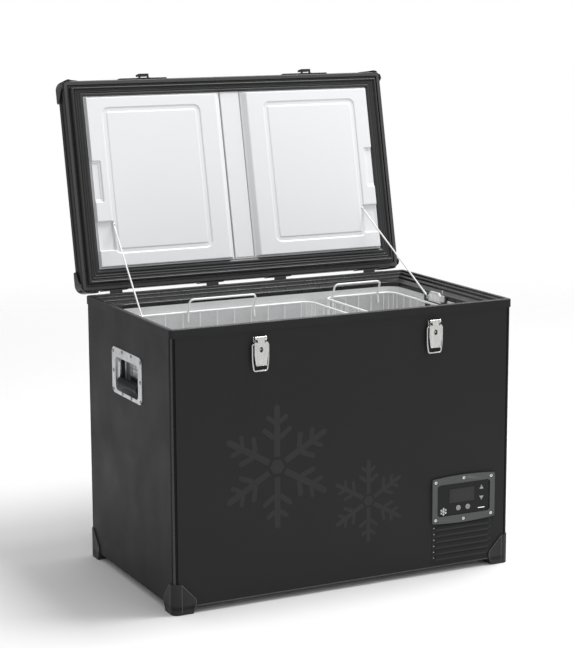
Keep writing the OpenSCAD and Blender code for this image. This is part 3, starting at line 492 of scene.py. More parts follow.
def fillet(corners, radius, steps=6):
    """A path through corners, in any number of dimensions, with each bend rounded."""
    corners = [Vector(c) for c in corners]
    n = len(corners)
    path = []
    for i, here in enumerate(corners):
        if i in (0, n - 1):
            path.append(here)
            continue
        r = radius[i] if isinstance(radius, (list, tuple)) else radius
        a = corners[i - 1] - here
        b = corners[i + 1] - here
        turn = math.pi - a.angle(b)
        if r <= 0 or turn < 0.01:
            path.append(here)
            continue
        cut = min(r * math.tan(turn / 2), a.length * 0.49, b.length * 0.49)
        start, end = here + a.normalized() * cut, here + b.normalized() * cut
        middle = (a.normalized() + b.normalized()).normalized()
        bend = cut / math.tan(turn / 2)
        centre = here + middle * (bend / math.cos(turn / 2))
        u, v = start - centre, end - centre
        for k in range(steps + 1):
            t = k / steps
            swing = u * math.sin((1 - t) * turn) + v * math.sin(t * turn)
            path.append(centre + swing / math.sin(turn))
    return path


def fine_steps(low, high, marks, coarse=9.0, fine=0.8, reach=5.0):
    """Numbers from low to high: close together near the marks, and wide apart elsewhere."""
    values = {round(low, 3), round(high, 3)}
    for mark in marks:
        k = -reach
        while k <= reach + 1e-6:
            if low < mark + k < high:
                values.add(round(mark + k, 3))
            k += fine
    spots = sorted(values)
    filled = []
    for a, b in zip(spots, spots[1:]):
        parts = max(1, math.ceil((b - a) / coarse))
        filled += [a + (b - a) * i / parts for i in range(parts)]
    filled.append(spots[-1])
    return [v for i, v in enumerate(filled) if i == 0 or v - filled[i - 1] > 0.05]


def blend_step(value, low, high):
    """Smooth rise from 0 at low to 1 at high."""
    t = max(0.0, min(1.0, (value - low) / (high - low)))
    return t * t * (3 - 2 * t)


def rect_distance(x, y, x0, x1, y0, y1, r):
    """Distance to a rounded rectangle: negative inside."""
    dx = abs(x - (x0 + x1) / 2) - (x1 - x0) / 2 + r
    dy = abs(y - (y0 + y1) / 2) - (y1 - y0) / 2 + r
    return math.hypot(max(dx, 0), max(dy, 0)) + min(max(dx, dy), 0) - r


def dress():
    """Gives every CAD node the node material of its slot."""
    for part in frame["record"]["subparts"]:
        mesh = NODES[part["node"]].data
        mesh.materials.clear()
        mesh.materials.append(MATERIALS[part["material_slot"]])


# ---- rings and sweeps

def ring(half_x, front, back, r, z, steps=7):
    """Rounded rectangle at height z, with its own depth to the front and to the back."""
    return [Vector((x, y, z)) for x, y in rounded_rect(-half_x, half_x, front, back, r, steps)]


def prism(shape, outline, place, thickness, edge=0.4, sections=3):
    """Plate with rounded edges. outline holds points (u, v); place(u, v, w) gives the point
    in space, with w from 0 at the back to thickness at the front."""
    n = len(outline)
    normals = []
    for i in range(n):
        a, b = Vector(outline[i - 1]), Vector(outline[(i + 1) % n])
        t = b - a
        t = t.normalized() if t.length else Vector((1, 0))
        normals.append(Vector((t.y, -t.x)))
    area = sum(outline[i][0] * outline[(i + 1) % n][1] - outline[(i + 1) % n][0] * outline[i][1]
               for i in range(n))
    sign = 1 if area > 0 else -1

    def grown(inset, w):
        return [place(*(Vector(p) - sign * normals[i] * inset), w) for i, p in enumerate(outline)]

    steps = [(edge * (1 - math.cos(math.pi / 2 * k / sections)),
              thickness - edge * (1 - math.sin(math.pi / 2 * k / sections)))
             for k in range(sections + 1)]
    rings = [grown(0, 0)] + [grown(inset, w) for inset, w in steps]
    shape.loft(rings, caps=True)
    return shape


def front_place(x, z, y):
    """Face at depth y that looks to the front: u to the right, v up, w forwards."""
    return lambda u, v, w: Vector((x + u, y - w, z + v))


def dome(shape, centre, out, radius, height, sides=20, rows=4):
    """Shallow dome on a face whose outward direction is out."""
    out = Vector(out).normalized()
    a = out.orthogonal().normalized()
    b = out.cross(a)
    rings = []
    for k in range(rows + 1):
        t = math.pi / 2 * k / rows
        r = max(radius * math.cos(t), radius * 0.02)
        rings.append([Vector(centre) + out * height * math.sin(t)
                      + (a * math.cos(s) + b * math.sin(s)) * r
                      for s in turns(sides)])
    shape.loft(rings, caps=True)


def relief(shape, xs, ys, height, back):
    """Closed block whose front is the surface height(x, y) and whose back is flat."""
    nx, ny = len(xs), len(ys)
    first = len(shape.points)
    shape.points += [Vector((x, y, height(x, y))) for y in ys for x in xs]
    for j in range(ny - 1):
        for i in range(nx - 1):
            a = first + j * nx + i
            shape.faces.append((a, a + 1, a + nx + 1, a + nx))
    border = ([(i, 0) for i in range(nx - 1)] + [(nx - 1, j) for j in range(ny - 1)]
              + [(i, ny - 1) for i in range(nx - 1, 0, -1)] + [(0, j) for j in range(ny - 1, 0, -1)])
    base = len(shape.points)
    shape.points += [Vector((xs[i], ys[j], back)) for i, j in border]
    count = len(border)
    for k in range(count):
        m = (k + 1) % count
        a, b = border[k], border[m]
        shape.faces.append((first + a[1] * nx + a[0], base + k, base + m, first + b[1] * nx + b[0]))
    shape.faces.append(tuple(base + k for k in range(count)))


# ---- cabinet

def coat_rings(obj, first, last, per_ring, material):
    """Gives the faces of a loft between two of its rings another material."""
    obj.data.materials.append(MATERIALS[material])
    slot = len(obj.data.materials) - 1
    for face in obj.data.polygons:
        if first <= face.index // per_ring < last:
            face.material_index = slot


def make_rim():
    """Moulded rim: skirt, top land, three ridged ledges and the flange down to the tub."""
    low, flange = SKIRT_LOW - RIM_TOP, RIM_LOW - RIM_TOP
    land = [(-1.5, low), (-1.5, -1.8), (-1.1, -0.8), (-0.2, -0.2), (0.8, 0), (7.4, 0), (8.1, -0.35),
            (8.5, -1.2), (8.7, -3.6), (9.6, -4.4), (10.6, -3.9), (11.4, -3.5), (15.4, -4.7), (16.2, -5.3),
            (16.6, -6.4), (16.9, -9.2), (17.8, -10), (18.8, -9.6), (19.6, -9.2), (25.6, -11.2),
            (26.4, -11.8), (26.8, -12.9), (27.1, -15.2), (28, -16), (29, -15.6), (30, -15.2),
            (37, -17.4), (41, -18.6)]
    rings = [ring(HALF_W - d, -HALF_D + d, HALF_D - d, max(1.2, 7.5 - max(d, 0) * 0.8), RIM_TOP + z)
             for d, z in land]
    for inset, z in ((1.6, -19.2), (0.5, -20.0), (0.0, -21.4), (0.0, flange + 0.05)):
        rings.append(ring(TUB_HALF_W + inset, -TUB_HALF_D - inset, TUB_HALF_D + inset,
                          TUB_CORNER + inset, RIM_TOP + z))
    for d, z in ((20, flange + 0.05), (1.4, flange + 0.05), (1.4, low)):
        rings.append(ring(HALF_W - d, -HALF_D + d, HALF_D - d, 6, RIM_TOP + z))
    shape = Shape().loft(rings, wrap=True)
    rim = make_piece("rim_moulding", shape, "rim_plastic", "cabinet", ["top_rim"], sharp=55)
    coat_rings(rim, 0, 1, len(rings[0]), "front_coating")


def make_posts():
    """Rounded corner profiles with a step and a narrow groove on each side of the rounding."""
    low = box_mm("corner_posts")[0].z
    shape = Shape()
    r = 8.0
    profile = ([(-12, -1.6), (-10.4, -1.6), (-9.9, -1.9), (-9.5, -1.6), (-9.2, -0.3), (-8.8, 0)]
               + arc((-r, -r), r, 0, 90, 10)[::-1]
               + [(0, -8.8), (-0.3, -9.2), (-1.6, -9.5), (-1.9, -9.9), (-1.6, -10.4), (-1.6, -12),
                  (-3, -12), (-3, -5.5), (-5.5, -3), (-12, -3)])
    for sx, sy in CORNERS:
        rings = [[Vector((sx * (HALF_W + x), sy * (HALF_D + y), z)) for x, y in profile]
                 for z in (low, SKIRT_LOW)]
        shape.loft(rings, caps=True)
    posts = make_piece("corner_profiles", shape, "post_black", "cabinet", ["corner_posts"],
                       sharp=28)
    # painted highlight: the middle of each rounded corner is coloured lighter than the two bands beside
    # it, where light catches the rounding
    posts.data.materials.append(MATERIALS["post_painted_highlight"])
    for face in posts.data.polygons:
        x, y = HALF_W - abs(face.center.x / MM), HALF_D - abs(face.center.y / MM)
        if len(face.vertices) == 4 and 0.9 < x < 4.6 and 0.9 < y < 4.6:
            face.material_index = len(posts.data.materials) - 1


def make_feet():
    """Foot mouldings: a rounded column on a pad, with a flat gusset on each side and its beads."""
    high = box_mm("foot_corners")[1]
    out, top, thick, column = high.x - HALF_W, high.z, 2.9, 14
    # height and width of a gusset
    widths = [(0.0, 45.0), (0.8, 45.6), (6, 46.5), (13.9, 49.6), (21, 52.5), (30, 51.5),
              (top - 0.8, 19.8), (top, 19.0)]
    crest = (19.5, top - 1.4)
    bead_lines = ([crest, (50.4, 30.2), (51.2, 21.2), (45.6, 7.5)], [crest, (19.5, 4)])
    shape, beads = Shape(), Shape()

    def quarter(r):
        angles = (math.pi / 2 * i / 10 for i in range(11))
        return [(column - r * math.sin(a), column - r * math.cos(a)) for a in angles]

    outer, inner = quarter(column), quarter(column - thick)
    for sx, sy in CORNERS:
        def at(u, t, z):
            return Vector((sx * (HALF_W + out - u), sy * (HALF_D + out - t), z))

        pad, wall = [], []
        for z, w in widths:
            round_corner = [(w, 0.6), (w - 0.6, 0)] + outer + [(0, w - 0.6), (0.6, w)]
            if z < 14:
                pad.append([at(u, t, z) for u, t in round_corner + [(w, w)]])
            if z > 13:
                wall.append([at(u, t, z) for u, t in
                             [(w, thick)] + round_corner + [(thick, w)] + inner[::-1]])
        shape.loft(pad, caps=True)
        shape.loft(wall, caps=True)
        for line in bead_lines:
            beads.tube([at(u, 0.1, z) for u, z in line], 0.6, 6)
            beads.tube([at(0.1, u, z) for u, z in line], 0.6, 6)
    make_piece("foot_mouldings", shape, "black_plastic", "cabinet", ["foot_corners"], sharp=40)
    # raised beads, coloured lighter grey than the foot: painted highlight along the gusset borders
    make_piece("foot_beads", beads, "bead_painted_highlight")


# louvres, in millimetres: number of rows, height of the lowest, distance between rows, half length
LOUVRES, LOUVRE_LOW, LOUVRE_PITCH, LOUVRE_HALF = 6, 32, 13.3, 67
# how a louvre swells from its end (distance from the end of its full row, share of full size),
# and its section (outwards, up)
LOUVRE_ENDS = [(-2.5, 0.04), (-1.8, 0.4), (0, 0.75), (3, 0.95), (7, 1.0)]
LOUVRE_SECTION = [(0.0, 8.2), (1.5, 6.2), (2.7, 3.6), (3.2, 1.2), (3.1, 0.2), (2.6, -0.2), (2.2, 0.5),
                  (0.4, 4.5), (-0.8, 4.5)]


def make_louvres():
    """Pressed louvre rows with rounded ends, on the front and on the back."""
    ends = ([(-LOUVRE_HALF + d, size) for d, size in LOUVRE_ENDS]
            + [(LOUVRE_HALF - d, size) for d, size in LOUVRE_ENDS[::-1]])
    for end, way in (("front", -1), ("back", 1)):
        node, name = end + "_grille", end + "_louvres"
        low, high = box_mm(node)
        shape, dark, painted_glints, painted_shade_dots = Shape(), Shape(), Shape(), Shape()
        face = way * HALF_D
        prism(shape, rounded_rect(low.x, high.x, low.z, high.z, 3, 4),
              lambda u, v, w: Vector((u, face + way * (w - 1.6), v)), 1.7, 0.3)
        centre = (low.x + high.x) / 2
        for k in range(LOUVRES):
            base = LOUVRE_LOW + k * LOUVRE_PITCH
            shape.loft([[Vector((centre + x, face + way * w * size, base + 3 + (v - 3) * size))
                         for w, v in LOUVRE_SECTION] for x, size in ends], caps=True)
            # painted shade: a thin black sheet in the opening under each louvre
            prism(dark, rounded_rect(centre - LOUVRE_HALF + 1, centre + LOUVRE_HALF - 1, base - 3.6,
                                     base - 0.4, 1.5, 4),
                  lambda u, v, w: Vector((u, face + way * w, v)), 0.18, 0.05)
            z = LOUVRE_LOW + 3 + k * LOUVRE_PITCH
            # painted highlight: a steel dot at the lit end of each louvre; painted shade: a black dot at
            # its shaded end
            for marks, side, radius, height, rows in ((painted_glints, way, 1.2, 0.7, 3),
                                                      (painted_shade_dots, -way, 1.4, 0.4, 2)):
                dome(marks, (centre + side * (LOUVRE_HALF + 5), face + way * 0.1, z), (0, way, 0),
                     radius, height, 12, rows)
        make_piece(name, shape, "front_coating", "cabinet", [node], sharp=50)
        make_piece(name + "_slot_painted_shade", dark, "rubber_black")
        make_piece(name + "_painted_glints", painted_glints, "screw_steel")
        make_piece(name + "_painted_shade_dots", painted_shade_dots, "rubber_black")


def make_decal():
    """Two snowflakes in a slightly lighter coat, as thin flat shapes on the front panel."""
    shape = Shape()

    def bar(cx, cz, angle, start, end, width, thickness=0.12):
        ca, sa = math.cos(angle), math.sin(angle)
        outline = [(start, -width / 2), (end, -width / 2), (end + width * 0.35, 0), (end, width / 2),
                   (start, width / 2)]
        points = [(cx + u * ca - v * sa, cz + u * sa + v * ca) for u, v in outline]
        prism(shape, points, front_place(0, 0, -HALF_D), thickness, 0.04, 1)

    def twig(cx, cz, angle, at, length, width):
        ca, sa = math.cos(angle), math.sin(angle)
        for side in (1, -1):
            bar(cx + at * ca, cz + at * sa, angle + side * math.radians(52), width * 0.75,
                length, width, 0.10)

    for cx, cz, size in ((-165, 285, 128), (50, 185, 88)):
        for k in range(6):
            angle = math.radians(90 + 60 * k)
            bar(cx, cz, angle, size * 0.17, size, size * 0.105)
            twig(cx, cz, angle, size * 0.44, size * 0.30, size * 0.085)
            twig(cx, cz, angle, size * 0.70, size * 0.22, size * 0.075)
        hexagon = [(cx + size * 0.13 * math.cos(math.radians(60 * k)),
                    cz + size * 0.13 * math.sin(math.radians(60 * k))) for k in range(6)]
        prism(shape, hexagon, front_place(0, 0, -HALF_D), 0.15, 0.04, 1)
    make_piece("snowflake_print", shape, "decal_grey", sharp=30)


# ---- lid

def lid_ring(d, n, r=3.0, keep=15.0):
    """Ring on the lid at inset d and height n; beyond keep the insets spread to the opening."""
    def spread(full):
        return d if d <= keep else keep + (d - keep) * (full - keep) / (44 - keep)
    front, back = spread(HALF_D + LINER_FRONT), spread(HALF_D - LINER_BACK)
    return ring(HALF_W - d, -HALF_D + front, HALF_D - back, r, n)


def make_lid_frame():
    """Frame of the lid: outer channel, inner strip, groove and seal seat."""
    section = [(43.9, 33.9), (43.9, 0.9), (15.6, 0.9), (15.1, 1.4), (15.0, 3.0), (10.4, 3.0), (10.1, 0.9),
               (9.7, 0.25), (9.0, 0.0), (2.6, 0.0), (1.6, 0.35), (0.6, 1.2), (0.15, 2.4), (0.0, 4.0),
               (0.0, 11.2), (0.4, 11.9), (1.4, 12.3), (1.6, 13.0), (1.6, 20.0), (1.4, 20.7), (0.4, 21.1),
               (0.0, 21.8), (0.0, 32.6), (0.5, 33.6), (1.4, 33.95)]
    rings = [lid_ring(d, n, max(0.8, 8 - d * 0.75)) for d, n in section]
    shape = Shape().loft(rings, wrap=True).moved(LID)
    frame = make_piece("lid_surround", shape, "rim_plastic", "lid", ["lid_frame"], sharp=50)
    # painted highlight: the flat inner strip of the frame in a lighter grey
    coat_rings(frame, 8, 9, len(rings[0]), "lid_strip_painted_highlight")
    coat_rings(frame, 13, 23, len(rings[0]), "front_coating")


def make_gasket():
    """Seal: an outer bulb, two fine ribs, and a broad inner lip that slopes to the liner."""
    section = [(15.3, 0.85), (15.3, -2.2), (15.7, -4.6), (16.6, -6.7), (18.0, -7.8), (19.4, -7.9),
               (20.8, -6.9), (21.8, -5.0), (22.4, -3.4), (23.4, -3.0), (24.2, -3.1), (24.6, -4.0),
               (25.2, -4.4), (26.6, -4.4), (27.2, -4.0), (27.6, -3.1), (28.6, -3.0), (29.0, -3.2),
               (29.5, -4.1), (30.2, -4.5), (31.6, -4.5), (32.3, -4.1), (32.8, -3.2), (33.8, -3.1),
               (34.6, -3.6), (35.4, -4.8), (36.8, -5.5), (38.8, -5.3), (41.0, -4.0), (42.8, -2.2),
               (43.7, -0.8), (43.8, 0.85)]
    rings = [lid_ring(d, n, 1.6) for d, n in section]
    shape = Shape().loft(rings, wrap=True).moved(LID)
    make_piece("lid_seal", shape, "gasket_rubber", "lid", ["lid_gasket"], sharp=60)


def liner_height(x, y):
    """Height of the white liner, counted from the lid's inner face towards the tub."""
    ax = abs(x)
    pad = (blend_step(ax, 26.2, 41) * (1 - blend_step(ax, 352.2, 354.2))
           * blend_step(y, -196.4, -193.4) * (1 - blend_step(y, 182.4, 185.4)))
    strip = ((1 - blend_step(ax, 22.8, 23.4)) * blend_step(y, -196, -194)
             * (1 - blend_step(y, 183, 185)))
    gap = blend_step(ax, 22.8, 23.4) * (1 - blend_step(ax, 26.0, 26.8))
    n = -PAD_H * pad - 1.6 * strip + 3.2 * gap
    if pad > 0.5:
        outline = rect_distance(ax, y, 80, 318, -171, 155.5, 16)
        band = blend_step(outline, -12.5, -9.5) * (1 - blend_step(outline, -2.2, 0.8))
        n += 2.0 * band
        n += 0.5 * (1 - blend_step(outline, -12.5, -10.5))
        # finger grip in two steps, and the pocket of the stay cable: depth, place, soft edge
        for depth, place, start, end in (
                (3.2, (333, 360, -53, 39, 3), -1.2, 0.6), (1.6, (338, 366, -48, 34, 2), -1.0, 0.4),
                (7.2 if ax < 350 else 6.0, (314, 370, 82, 148, 3), -2.2, 0.6)):
            n += depth * (1 - blend_step(rect_distance(ax, y, *place), start, end))
    return n


def make_liner():
    marks = [22.8, 23.4, 26, 26.8, 41, 80, 90, 308, 318, 314, 333, 338, 353]
    xs = fine_steps(-LINER_X, LINER_X, [s * m for m in marks for s in (1, -1)], 12, 0.9, 3.6)
    ys = fine_steps(LINER_FRONT, LINER_BACK, [-195, -171, -161, -53, -48, 34, 39, 82, 148, 146,
                                              156, 184], 12, 0.9, 3.6)
    shape = Shape()
    relief(shape, xs, ys, liner_height, 3.9)
    shape.moved(LID)
    make_piece("lid_liner_moulding", shape, "liner_white", "lid", ["lid_liner"], sharp=75)
    # painted shade: grey strips on the floor of the two grooves beside the middle strip
    groove_shade = Shape()
    for s in (-1, 1):
        prism(groove_shade, [(s * 24.7 - 0.9, -193), (s * 24.7 + 0.9, -193), (s * 24.7 + 0.9, 182),
                      (s * 24.7 - 0.9, 182)], lambda u, v, w: Vector((u, v, 3.1 - w)), 0.4, 0.1, 1)
    groove_shade.moved(LID)
    make_piece("lid_groove_painted_shade", groove_shade, "groove_painted_shade", "lid")
    # screws that hold the eyes of the stay cables
    screws = Shape()
    for s in (1, -1):
        dome(screws, (s * 315, 90, -8.2), (0, 0, -1), 3.6, 1.4)
        screws.tube([(s * 315, 90, -1), (s * 315, 90, -8.2)], 1.6, 12)
    screws.moved(LID)
    make_piece("lid_eye_screws", screws, "screw_steel", "lid")


# ---- baskets and stays

def make_basket(node, body, low, high, pitch, rim_z, handle, tops):
    """Welded basket: rim wire, U wires both ways, two hoops, and a handle at front and back."""
    x0, x1, y0, y1 = low.x, high.x, low.y, high.y
    floor_z = low.z + 1.6
    r, rim_r, corner = 1.5, 2.5, 26
    shape = Shape()
    wall = 2.6
    # inset, height, corner radius, steps, bar radius and sides of the rim and of the two hoops
    for inset, z, bend, steps, bar, sides in (
            (rim_r, rim_z, corner, 8, rim_r, 12),
            (wall + 3, floor_z + (rim_z - floor_z) * 0.34, corner - 4, 7, r, 8),
            (wall + 3, floor_z + (rim_z - floor_z) * 0.68, corner - 4, 7, r, 8)):
        loop = rounded_rect(x0 + inset, x1 - inset, y0 + inset, y1 - inset, bend, steps)
        shape.tube([(x, y, z) for x, y in loop], bar, sides, closed=True)
    n = max(2, round((x1 - x0 - 2 * corner) / pitch))
    for i in range(n + 1):
        x = x0 + corner + (x1 - x0 - 2 * corner) * i / n
        path = [(x, y, z) for y, z in ((y0 + wall, rim_z), (y0 + wall, floor_z),
                                       (y1 - wall, floor_z), (y1 - wall, rim_z))]
        shape.tube(fillet(path, 14, 5), r, 8)
    m = max(2, round((y1 - y0 - 2 * corner) / pitch))
    for i in range(m + 1):
        y = y0 + corner + (y1 - y0 - 2 * corner) * i / m
        path = [(x, y, z) for x, z in ((x0 + wall, rim_z), (x0 + wall, floor_z + 3),
                                       (x1 - wall, floor_z + 3), (x1 - wall, rim_z))]
        shape.tube(fillet(path, 14, 5), r, 8)
    # uprights round the four corners
    for sx, sy in CORNERS:
        cx = (x1 - corner) if sx > 0 else (x0 + corner)
        cy = (y1 - corner) if sy > 0 else (y0 + corner)
        for a in (30, 60):
            px = cx + sx * (corner - wall) * math.cos(math.radians(a))
            py = cy + sy * (corner - wall) * math.sin(math.radians(a))
            shape.tube([(px, py, rim_z), (px, py, floor_z + (rim_z - floor_z) * 0.34)], r, 8)
    for y, way, handle_top in ((y0 + rim_r, 1, tops[0]), (y1 - rim_r, -1, tops[1])):
        lean = 12 * way
        left, right = handle
        path = [(left - 1, y + way * 1.5, rim_z - 22), (left, y, rim_z),
                (left, y + lean, handle_top), (right, y + lean, handle_top), (right, y, rim_z),
                (right + 1, y + way * 1.5, rim_z - 22)]
        shape.tube(fillet(path, [0, 6, 9, 9, 6, 0], 5), rim_r - 0.1, 10)
    make_piece(node + "_wires", shape, "basket_wire", body, [node], sharp=70)


def make_baskets():
    low, high = box_mm("large_basket")
    make_basket("large_basket", "basket_large", low, high, 43, 544, (-180, -18), (572, 574))
    low, high = box_mm("small_basket")
    make_basket("small_basket", "basket_small", low, high, 30, 549, (185, 304), (574, 580))


def make_stays():
    """Cables from the brackets on the tub's walls to the lid, drawn straight for the open lid."""
    wall_y, wall_z = 30, 560
    shape = Shape()
    for s in (1, -1):
        start = Vector((s * 348.6, wall_y, wall_z))
        end = LID @ Vector((s * 315, 90, -6))
        path = [start + (end - start) * t for t in (k / 48 for k in range(49))]
        along = (end - start).normalized()
        shape.tube([p for p in path if (p - start).length > 9 and (p - end).length > 7], 1.8, 12)
        # crimped sleeves and eyes
        for origin, places in ((start, (8, 9, 21, 22)), (end, (-24, -23, -9, -8))):
            shape.tube([origin + along * t for t in places], 2.3, 12, radii=[1.7, 2.3, 2.3, 1.7])
        eye = [start + Vector((0, 3.6 * math.cos(t), 3.6 * math.sin(t)))
               for t in turns(18)]
        shape.tube(eye, 1.1, 8, closed=True)
        shape.tube([start + along * 3.6, start + along * 10], 1.2, 8)
        shape.tube([end - along * 10, end - along * 2], 1.2, 8)
    obj = make_piece("stay_cable_pair", shape, "cable_white", None, ["stay_cables"], sharp=60)
    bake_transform(obj)


# ---- latches and handles

def make_latches():
    for side in ("left", "right"):
        soften("latch_base_" + side, 0.35, "latch_steel")
        soften("latch_lever_" + side, 0.45, "latch_steel", 3, "lever_" + side)
        # painted shade: a black ring in the lever's keyhole, and black sheets where two slots above it
        # lie in shade
        mid, face = middle_mm("latch_lever_" + side)[0], -HALF_D - 11
        dark = Shape()
        dark.tube([(mid + 3.6 * math.cos(a), face, 536.8 + 5.2 * math.sin(a))
                   for a in turns(24)], 0.55, 6, closed=True)
        for s in (-1, 1):
            prism(dark, rounded_rect(-0.9, 0.9, -3.2, 3.2, 0.8, 3),
                  front_place(mid + s * 8.6, 554, face), 0.12, 0.05, 1)
        make_piece("latch_painted_shade_" + side, dark, "rubber_black", "lever_" + side)
        pivot = pivot_mm("bail_" + side + "_pivot")
        bottom = box_mm("latch_bail_" + side)[0].z + 1.75
        # the loop: straight cheeks, then shoulders that taper to the bar
        path = [(12.6, 0), (18.0, 0), (18.0, -24), (17.6, -36), (14.9, bottom - pivot.z),
                (-14.9, bottom - pivot.z), (-17.6, -36), (-18.0, -24), (-18.0, 0), (-12.6, 0)]
        points = [(pivot.x + u, pivot.y, pivot.z + v) for u, v in path]
        shape = Shape().tube(fillet(points, [0, 2.6, 9, 9, 4.5, 4.5, 9, 9, 2.6, 0], 6), 1.75, 14)
        make_piece("latch_loop_" + side, shape, "latch_steel", "bail_" + side,
                   ["latch_bail_" + side], sharp=70)


def make_handles():
    """Pressed dish with domed rivets, the plated bail, and a grip with moulded rings."""
    for side, way in (("left", -1), ("right", 1)):
        body = "carry_" + side
        soften("handle_dish_" + side, 0.9, "galvanised", 3)
        low, high = box_mm("handle_dish_" + side)
        # painted shade: a black sheet behind the grip and a black strip beside it, where the recess lies
        # in shade; and fine pressed lines
        back = HALF_W - 22
        mid_y, grip_z = (low.y + high.y) / 2, 434
        recess_shade_sheets, lines = Shape(), Shape()
        prism(recess_shade_sheets, rounded_rect(-61, 34, -10.5, 13, 3, 4), lambda u, v, w: Vector(
            (way * (back + w), mid_y + u, grip_z + v)), 0.6, 0.2)
        prism(recess_shade_sheets, rounded_rect(2, 11, -2, 44, 3, 4), lambda u, v, w: Vector(
            (way * (back + u), mid_y + 63 - w, grip_z + v)), 0.6, 0.2)
        for u0, v0, u1, v1 in ([(-58, v, 32, v) for v in (22, 31, 40)]
                               + [(u, 16, u, 46) for u in (-38, -16, 6, 26)]):
            lines.tube([(way * back, mid_y + u, grip_z + v) for u, v in ((u0, v0), (u1, v1))],
                       0.5, 6)
        make_piece("handle_recess_painted_shade_" + side, recess_shade_sheets, "rubber_black")
        make_piece("handle_lines_" + side, lines, "rivet_grey")
        plate_z = (low.z + high.z) / 2
        face = way * (HALF_W + 1.7)
        rivets, eyes = Shape(), Shape()
        for u, v in ((-76, 40), (76, 40), (-76, -43), (76, -43), (-74, -2), (74, -2),
                     (-25, -45.5), (25, -45.5), (-25, 44), (25, 44)):
            dome(rivets, (face, mid_y + u, plate_z + v), (way, 0, 0), 3.9, 1.45, 16, 3)
            # painted shade: a black dot in the hollow middle of each rivet
            dome(eyes, (face + way * 1.42, mid_y + u, plate_z + v), (way, 0, 0), 1.5, 0.2, 10, 2)
        make_piece("handle_rivets_" + side, rivets, "rivet_grey")
        make_piece("handle_rivet_painted_shade_" + side, eyes, "rubber_black")
        # the bail: two pins in the dish's eyes, two legs, and the bar inside the grip
        rod_low, rod_high = box_mm("carry_bail_" + side)
        rod_r, leg = 3.4, 59
        rod_x, rod_top, rod_bottom = way * (HALF_W - 6), rod_high.z - 3.5, rod_low.z + 3.5
        pin = (rod_high.y - rod_low.y) / 2 - 0.1
        path = [(rod_x, mid_y + u, z) for u, z in
                ((-pin, rod_top), (-leg, rod_top), (-leg, rod_bottom), (leg, rod_bottom),
                 (leg, rod_top), (pin, rod_top))]
        shape = Shape().tube(fillet(path, [0, 4, 4, 4, 4, 0], 6), rod_r, 24)
        make_piece("carry_rod_" + side, shape, "handle_steel", body, ["carry_bail_" + side],
                   sharp=70)
        grip_low, grip_high = box_mm("carry_grip_" + side)
        centre = (grip_low + grip_high) / 2
        half = (grip_high.y - grip_low.y) / 2
        count = 12
        step = 2 * half / count
        # one moulded ring of the grip: share of its length, radius
        profile = [(0.0, 8.6), (0.12, 9.5), (0.26, 9.95), (0.5, 10.0), (0.74, 9.95), (0.88, 9.5)]
        rings = [(-half, 3.9), (-half, 8.0)]
        for k in range(count):
            rings += [(-half + (k + t) * step + (0 if k or t else 0.6), r) for t, r in profile]
        rings += [(half - 0.6, 8.6), (half, 8.0), (half, 3.9)]
        shape = Shape().loft([[centre + Vector((r * math.cos(a), y, r * math.sin(a)))
                               for a in turns(28)] for y, r in rings])
        make_piece("grip_" + side, shape, "grip_rubber", body, ["carry_grip_" + side], sharp=60)


# ---- controls

# CAD nodes that only get rounded edges: node, width in millimetres, look, segments, body
ROUNDED_FRONT = [
    ("control_bezel", 1.3, "gunmetal", 3),
    ("control_fascia", 0.3, "fascia_black", 1),
    ("display_window", 0.3, "display_dark"),
    ("power_inlet", 0.8, "inlet_black"),
    ("drain_spout", 0.8, "white_plastic"),
    ("drain_plug", 0.8, "rubber_black", 2, "plug"),
]
ROUNDED_REST = [
    ("lid_corner_caps", 1.6, "black_plastic", 3, "lid"),
    ("lid_strikes", 0.7, "black_plastic", 2, "lid"),
    ("lid_skin", 0.5, "front_coating", 2, "lid"),
    ("cabinet_hinge_leaves", 0.5, "hinge_black"),
    ("lid_hinge_leaves", 0.5, "hinge_black", 2, "lid"),
    ("stay_brackets", 0.4, "bracket_black"),
    ("lamp_housing", 1.3, "white_plastic", 3),
    ("lid_switch", 0.4, "screw_steel", 2, "plunger"),
    ("front_panel", 0.5, "front_coating"),
    ("back_panel", 0.5, "front_coating"),
    ("left_panel", 0.5, "side_coating"),
    ("right_panel", 0.5, "side_coating"),
    ("base_pan", 0.6, "grille_black"),
    ("tub", 0.8, "tub_silver"),
]

